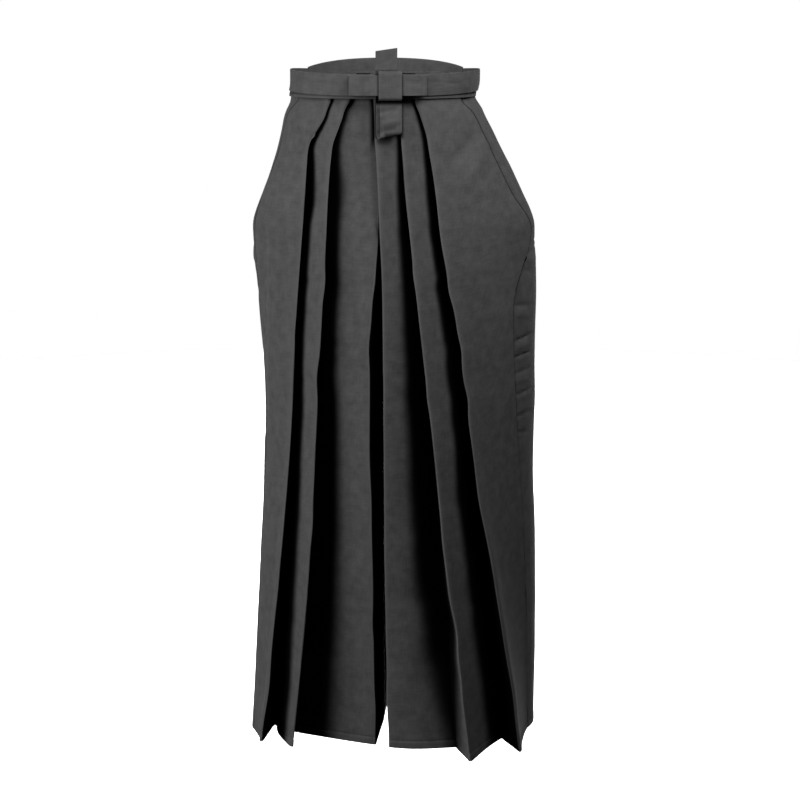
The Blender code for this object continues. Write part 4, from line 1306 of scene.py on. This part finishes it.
# %% Twill material
WAVE_TURN = 0.314              # straight bands of scale 1 repeat every 0.314 units
RIB = 1.1 * MM                 # the ribs run diagonally, so they lie 1.6 mm apart
FUZZ_PER_METRE = 900.0
THREADS_PER_METRE = 700.0      # 1.4 mm apart, where the real ones are far finer
SLUBS_PER_METRE = 45.0         # each thread keeps its tone for about 22 mm
PATCHES_PER_METRE = 75.0       # mottling about 13 mm across
BUMP_DEPTH = 0.2 * MM
# Colour of the painted shade deep in the folds
PAINTED_SHADE_BLACK = "030303"
LIGHT_THREAD = "353535"
# Colour of the painted highlight along the pressed edges
PAINTED_HIGHLIGHT = "343434"


def black_twill(name, dark_thread, roughness, bump):
    """Matt black cloth. What differs between the two finishes is passed in."""
    material = bpy.data.materials.new(name)
    material.use_nodes = True
    tree = material.node_tree
    shader = tree.nodes["Principled BSDF"]
    spot = add_node(tree, "ShaderNodeTexCoord")
    ribs = add_node(tree, "ShaderNodeTexWave", [("Vector", spot, "UV")], wave_type="BANDS",
                    bands_direction="DIAGONAL", Scale=WAVE_TURN / RIB, Distortion=0.6)
    fuzz = add_node(tree, "ShaderNodeTexNoise", [("Vector", spot, "UV")],
                    Scale=FUZZ_PER_METRE, Detail=2.0)
    patch = add_node(tree, "ShaderNodeTexNoise", [("Vector", spot, "Object")],
                     Scale=PATCHES_PER_METRE, Detail=5.0)
    strands = []
    for scale in ((THREADS_PER_METRE, SLUBS_PER_METRE, 1.0), (SLUBS_PER_METRE, THREADS_PER_METRE, 1.0)):
        laid = add_node(tree, "ShaderNodeMapping", [("Vector", spot, "UV")], Scale=scale)
        strands.append(add_node(tree, "ShaderNodeTexNoise", [("Vector", laid, "Vector")],
                                Scale=1.0, Detail=1.0))
    threads = mixed(tree, 0.5, strands[0].outputs["Fac"], strands[1].outputs["Fac"])
    mottle = mixed(tree, 0.5, threads, patch.outputs["Fac"])
    painted_light = add_node(tree, "ShaderNodeAttribute", attribute_name="open")
    edge_highlight = add_node(tree, "ShaderNodeAttribute", attribute_name="edge_highlight")
    contrast = add_node(tree, "ShaderNodeMapRange", From_Min=0.25, From_Max=0.75)
    tree.links.new(mottle, contrast.inputs["Value"])
    plain = mixed(tree, contrast.outputs["Result"], linear(dark_thread), linear(LIGHT_THREAD))
    # Lighter along pressed edges: a painted highlight
    with_highlight = mixed(tree, edge_highlight.outputs["Fac"], plain, linear(PAINTED_HIGHLIGHT))
    # Near black where little light is painted in: the painted shade of the folds
    tone = mixed(tree, painted_light.outputs["Fac"], linear(PAINTED_SHADE_BLACK), with_highlight)
    tree.links.new(tone, shader.inputs["Base Color"])
    height = add_node(tree, "ShaderNodeMath", operation="ADD")
    tree.links.new(ribs.outputs["Fac"], height.inputs[0])
    tree.links.new(fuzz.outputs["Fac"], height.inputs[1])
    relief = add_node(tree, "ShaderNodeBump", [("Height", height, 0)],
                      Strength=bump, Distance=BUMP_DEPTH)
    tree.links.new(relief.outputs["Normal"], shader.inputs["Normal"])
    shader.inputs["Roughness"].default_value = roughness
    shader.inputs["IOR"].default_value = 1.5
    # The painted shade also takes the gloss and the sheen out of the folds
    for socket, most in (("Specular IOR Level", 0.15), ("Sheen Weight", 0.04)):
        gloss = add_node(tree, "ShaderNodeMapRange", [("Value", painted_light, "Fac")], To_Max=most)
        tree.links.new(gloss.outputs["Result"], shader.inputs[socket])
    shader.inputs["Sheen Roughness"].default_value = 0.4
    return material


twill = black_twill("black polyester twill", "1e1e1e", roughness=0.85, bump=0.35)
pressed_twill = black_twill("pressed black twill ties", "1f1f1f", roughness=0.78, bump=0.3)
print("materials:", twill.name, "and", pressed_twill.name)

# %% [markdown]
# ## Each piece in its solid's place
# Each sheet rides on the one body of the model and stands for its solid, which is
# hidden. The panels take the twill, and the ties and bow the pressed twill.

# %% Dress the frame
PANELS = ("front_right", "front_left", "back_right", "back_left", "gusset_right", "gusset_left")
for node, piece in pieces.items():
    piece.data.materials.clear()
    piece.data.materials.append(twill if node in PANELS else pressed_twill)
    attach(piece, "root")
    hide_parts(node)
print("pieces:", len(pieces))

# %% [markdown]
# ## A pale studio
# White paper lies well below and behind the trousers, with a lamp of its own, so that it
# throws next to nothing back up at them. A large soft light on the left does most of the
# work, and two smaller ones on the right and above reach the panels that turn away from it.
# Little of it reaches into the pleats. One more light is for the paper alone.

# %% Floor and backdrop
FLOOR = HEM - 2000 * MM
FLOOR_RADIUS = 7.5
FLOOR_BACK = 8.5                # how far behind the trousers its middle lies
bpy.ops.object.select_all(action="DESELECT")
bpy.ops.mesh.primitive_circle_add(vertices=96, radius=FLOOR_RADIUS, fill_type="NGON",
                                  location=(0, FLOOR_BACK, FLOOR))
floor = bpy.context.object
floor.name = "studio_floor"
paper = bpy.data.materials.new("white studio paper")
paper.use_nodes = True
paper.node_tree.nodes["Principled BSDF"].inputs["Base Color"].default_value = linear("f0f0f0")
paper.node_tree.nodes["Principled BSDF"].inputs["Roughness"].default_value = 0.9
floor.data.materials.append(paper)
print("floor", round(-FLOOR, 2), "m below the ties")

# %% Lights
def area_light(name, place, aim, size, power, spread=180):
    """A soft rectangular light. Spread is the angle of its beam, in degrees."""
    data = bpy.data.lights.new(name, "AREA")
    data.shape = "RECTANGLE"
    data.size, data.size_y = size
    data.energy = power
    data.spread = math.radians(spread)
    light = bpy.data.objects.new(name, data)
    light.location = place
    from_aim = [p - a for p, a in zip(place, aim)]
    yaw = math.atan2(from_aim[0], -from_aim[1])
    tilt = math.atan2(math.hypot(from_aim[0], from_aim[1]), from_aim[2])
    light.rotation_euler = (tilt, 0, yaw)
    bpy.context.scene.collection.objects.link(light)


area_light("key", (-1.8, -1.03, 0.1), (0.0, 0.0, -0.4), (1.3, 1.1), 103.0)
area_light("right fill", (0.55, -0.57, 0.58), (0.0, 0.0, -0.15), (0.5, 0.5), 23.5)
area_light("high fill", (0.05, -0.75, 0.7), (0.0, 0.0, -0.15), (0.4, 0.4), 6.0)
area_light("floor light", (0.0, 9.5, 1.0), (0.0, 9.4, -3.0), (9.0, 12.0), 1300.0, spread=110)
print("lights:", len(bpy.data.lights))

# %% [markdown]
# ## A white world that sheds little light
# The ground in the photo is pure white, yet the pleats are black. So the world looks white
# to the camera alone, and sheds only a trace of light on the cloth.

# %% World
WHITE = (1, 1, 1, 1)
TRACE = 0.01                   # strength of the light that the world sheds

world = bpy.data.worlds.new("white studio")
world.use_nodes = True
bpy.context.scene.world = world
tree = world.node_tree
seen = add_node(tree, "ShaderNodeLightPath")
shown = tree.nodes["Background"]
shown.inputs["Color"].default_value = WHITE
shown.inputs["Strength"].default_value = 1.0
glow = add_node(tree, "ShaderNodeBackground", Color=WHITE, Strength=TRACE)
both = add_node(tree, "ShaderNodeMixShader", [("Fac", seen, "Is Camera Ray")])
tree.links.new(glow.outputs[0], both.inputs[1])
tree.links.new(shown.outputs[0], both.inputs[2])
tree.links.new(both.outputs[0], tree.nodes["World Output"].inputs["Surface"])
bpy.context.scene.view_settings.view_transform = "Standard"
print("world:", world.name)
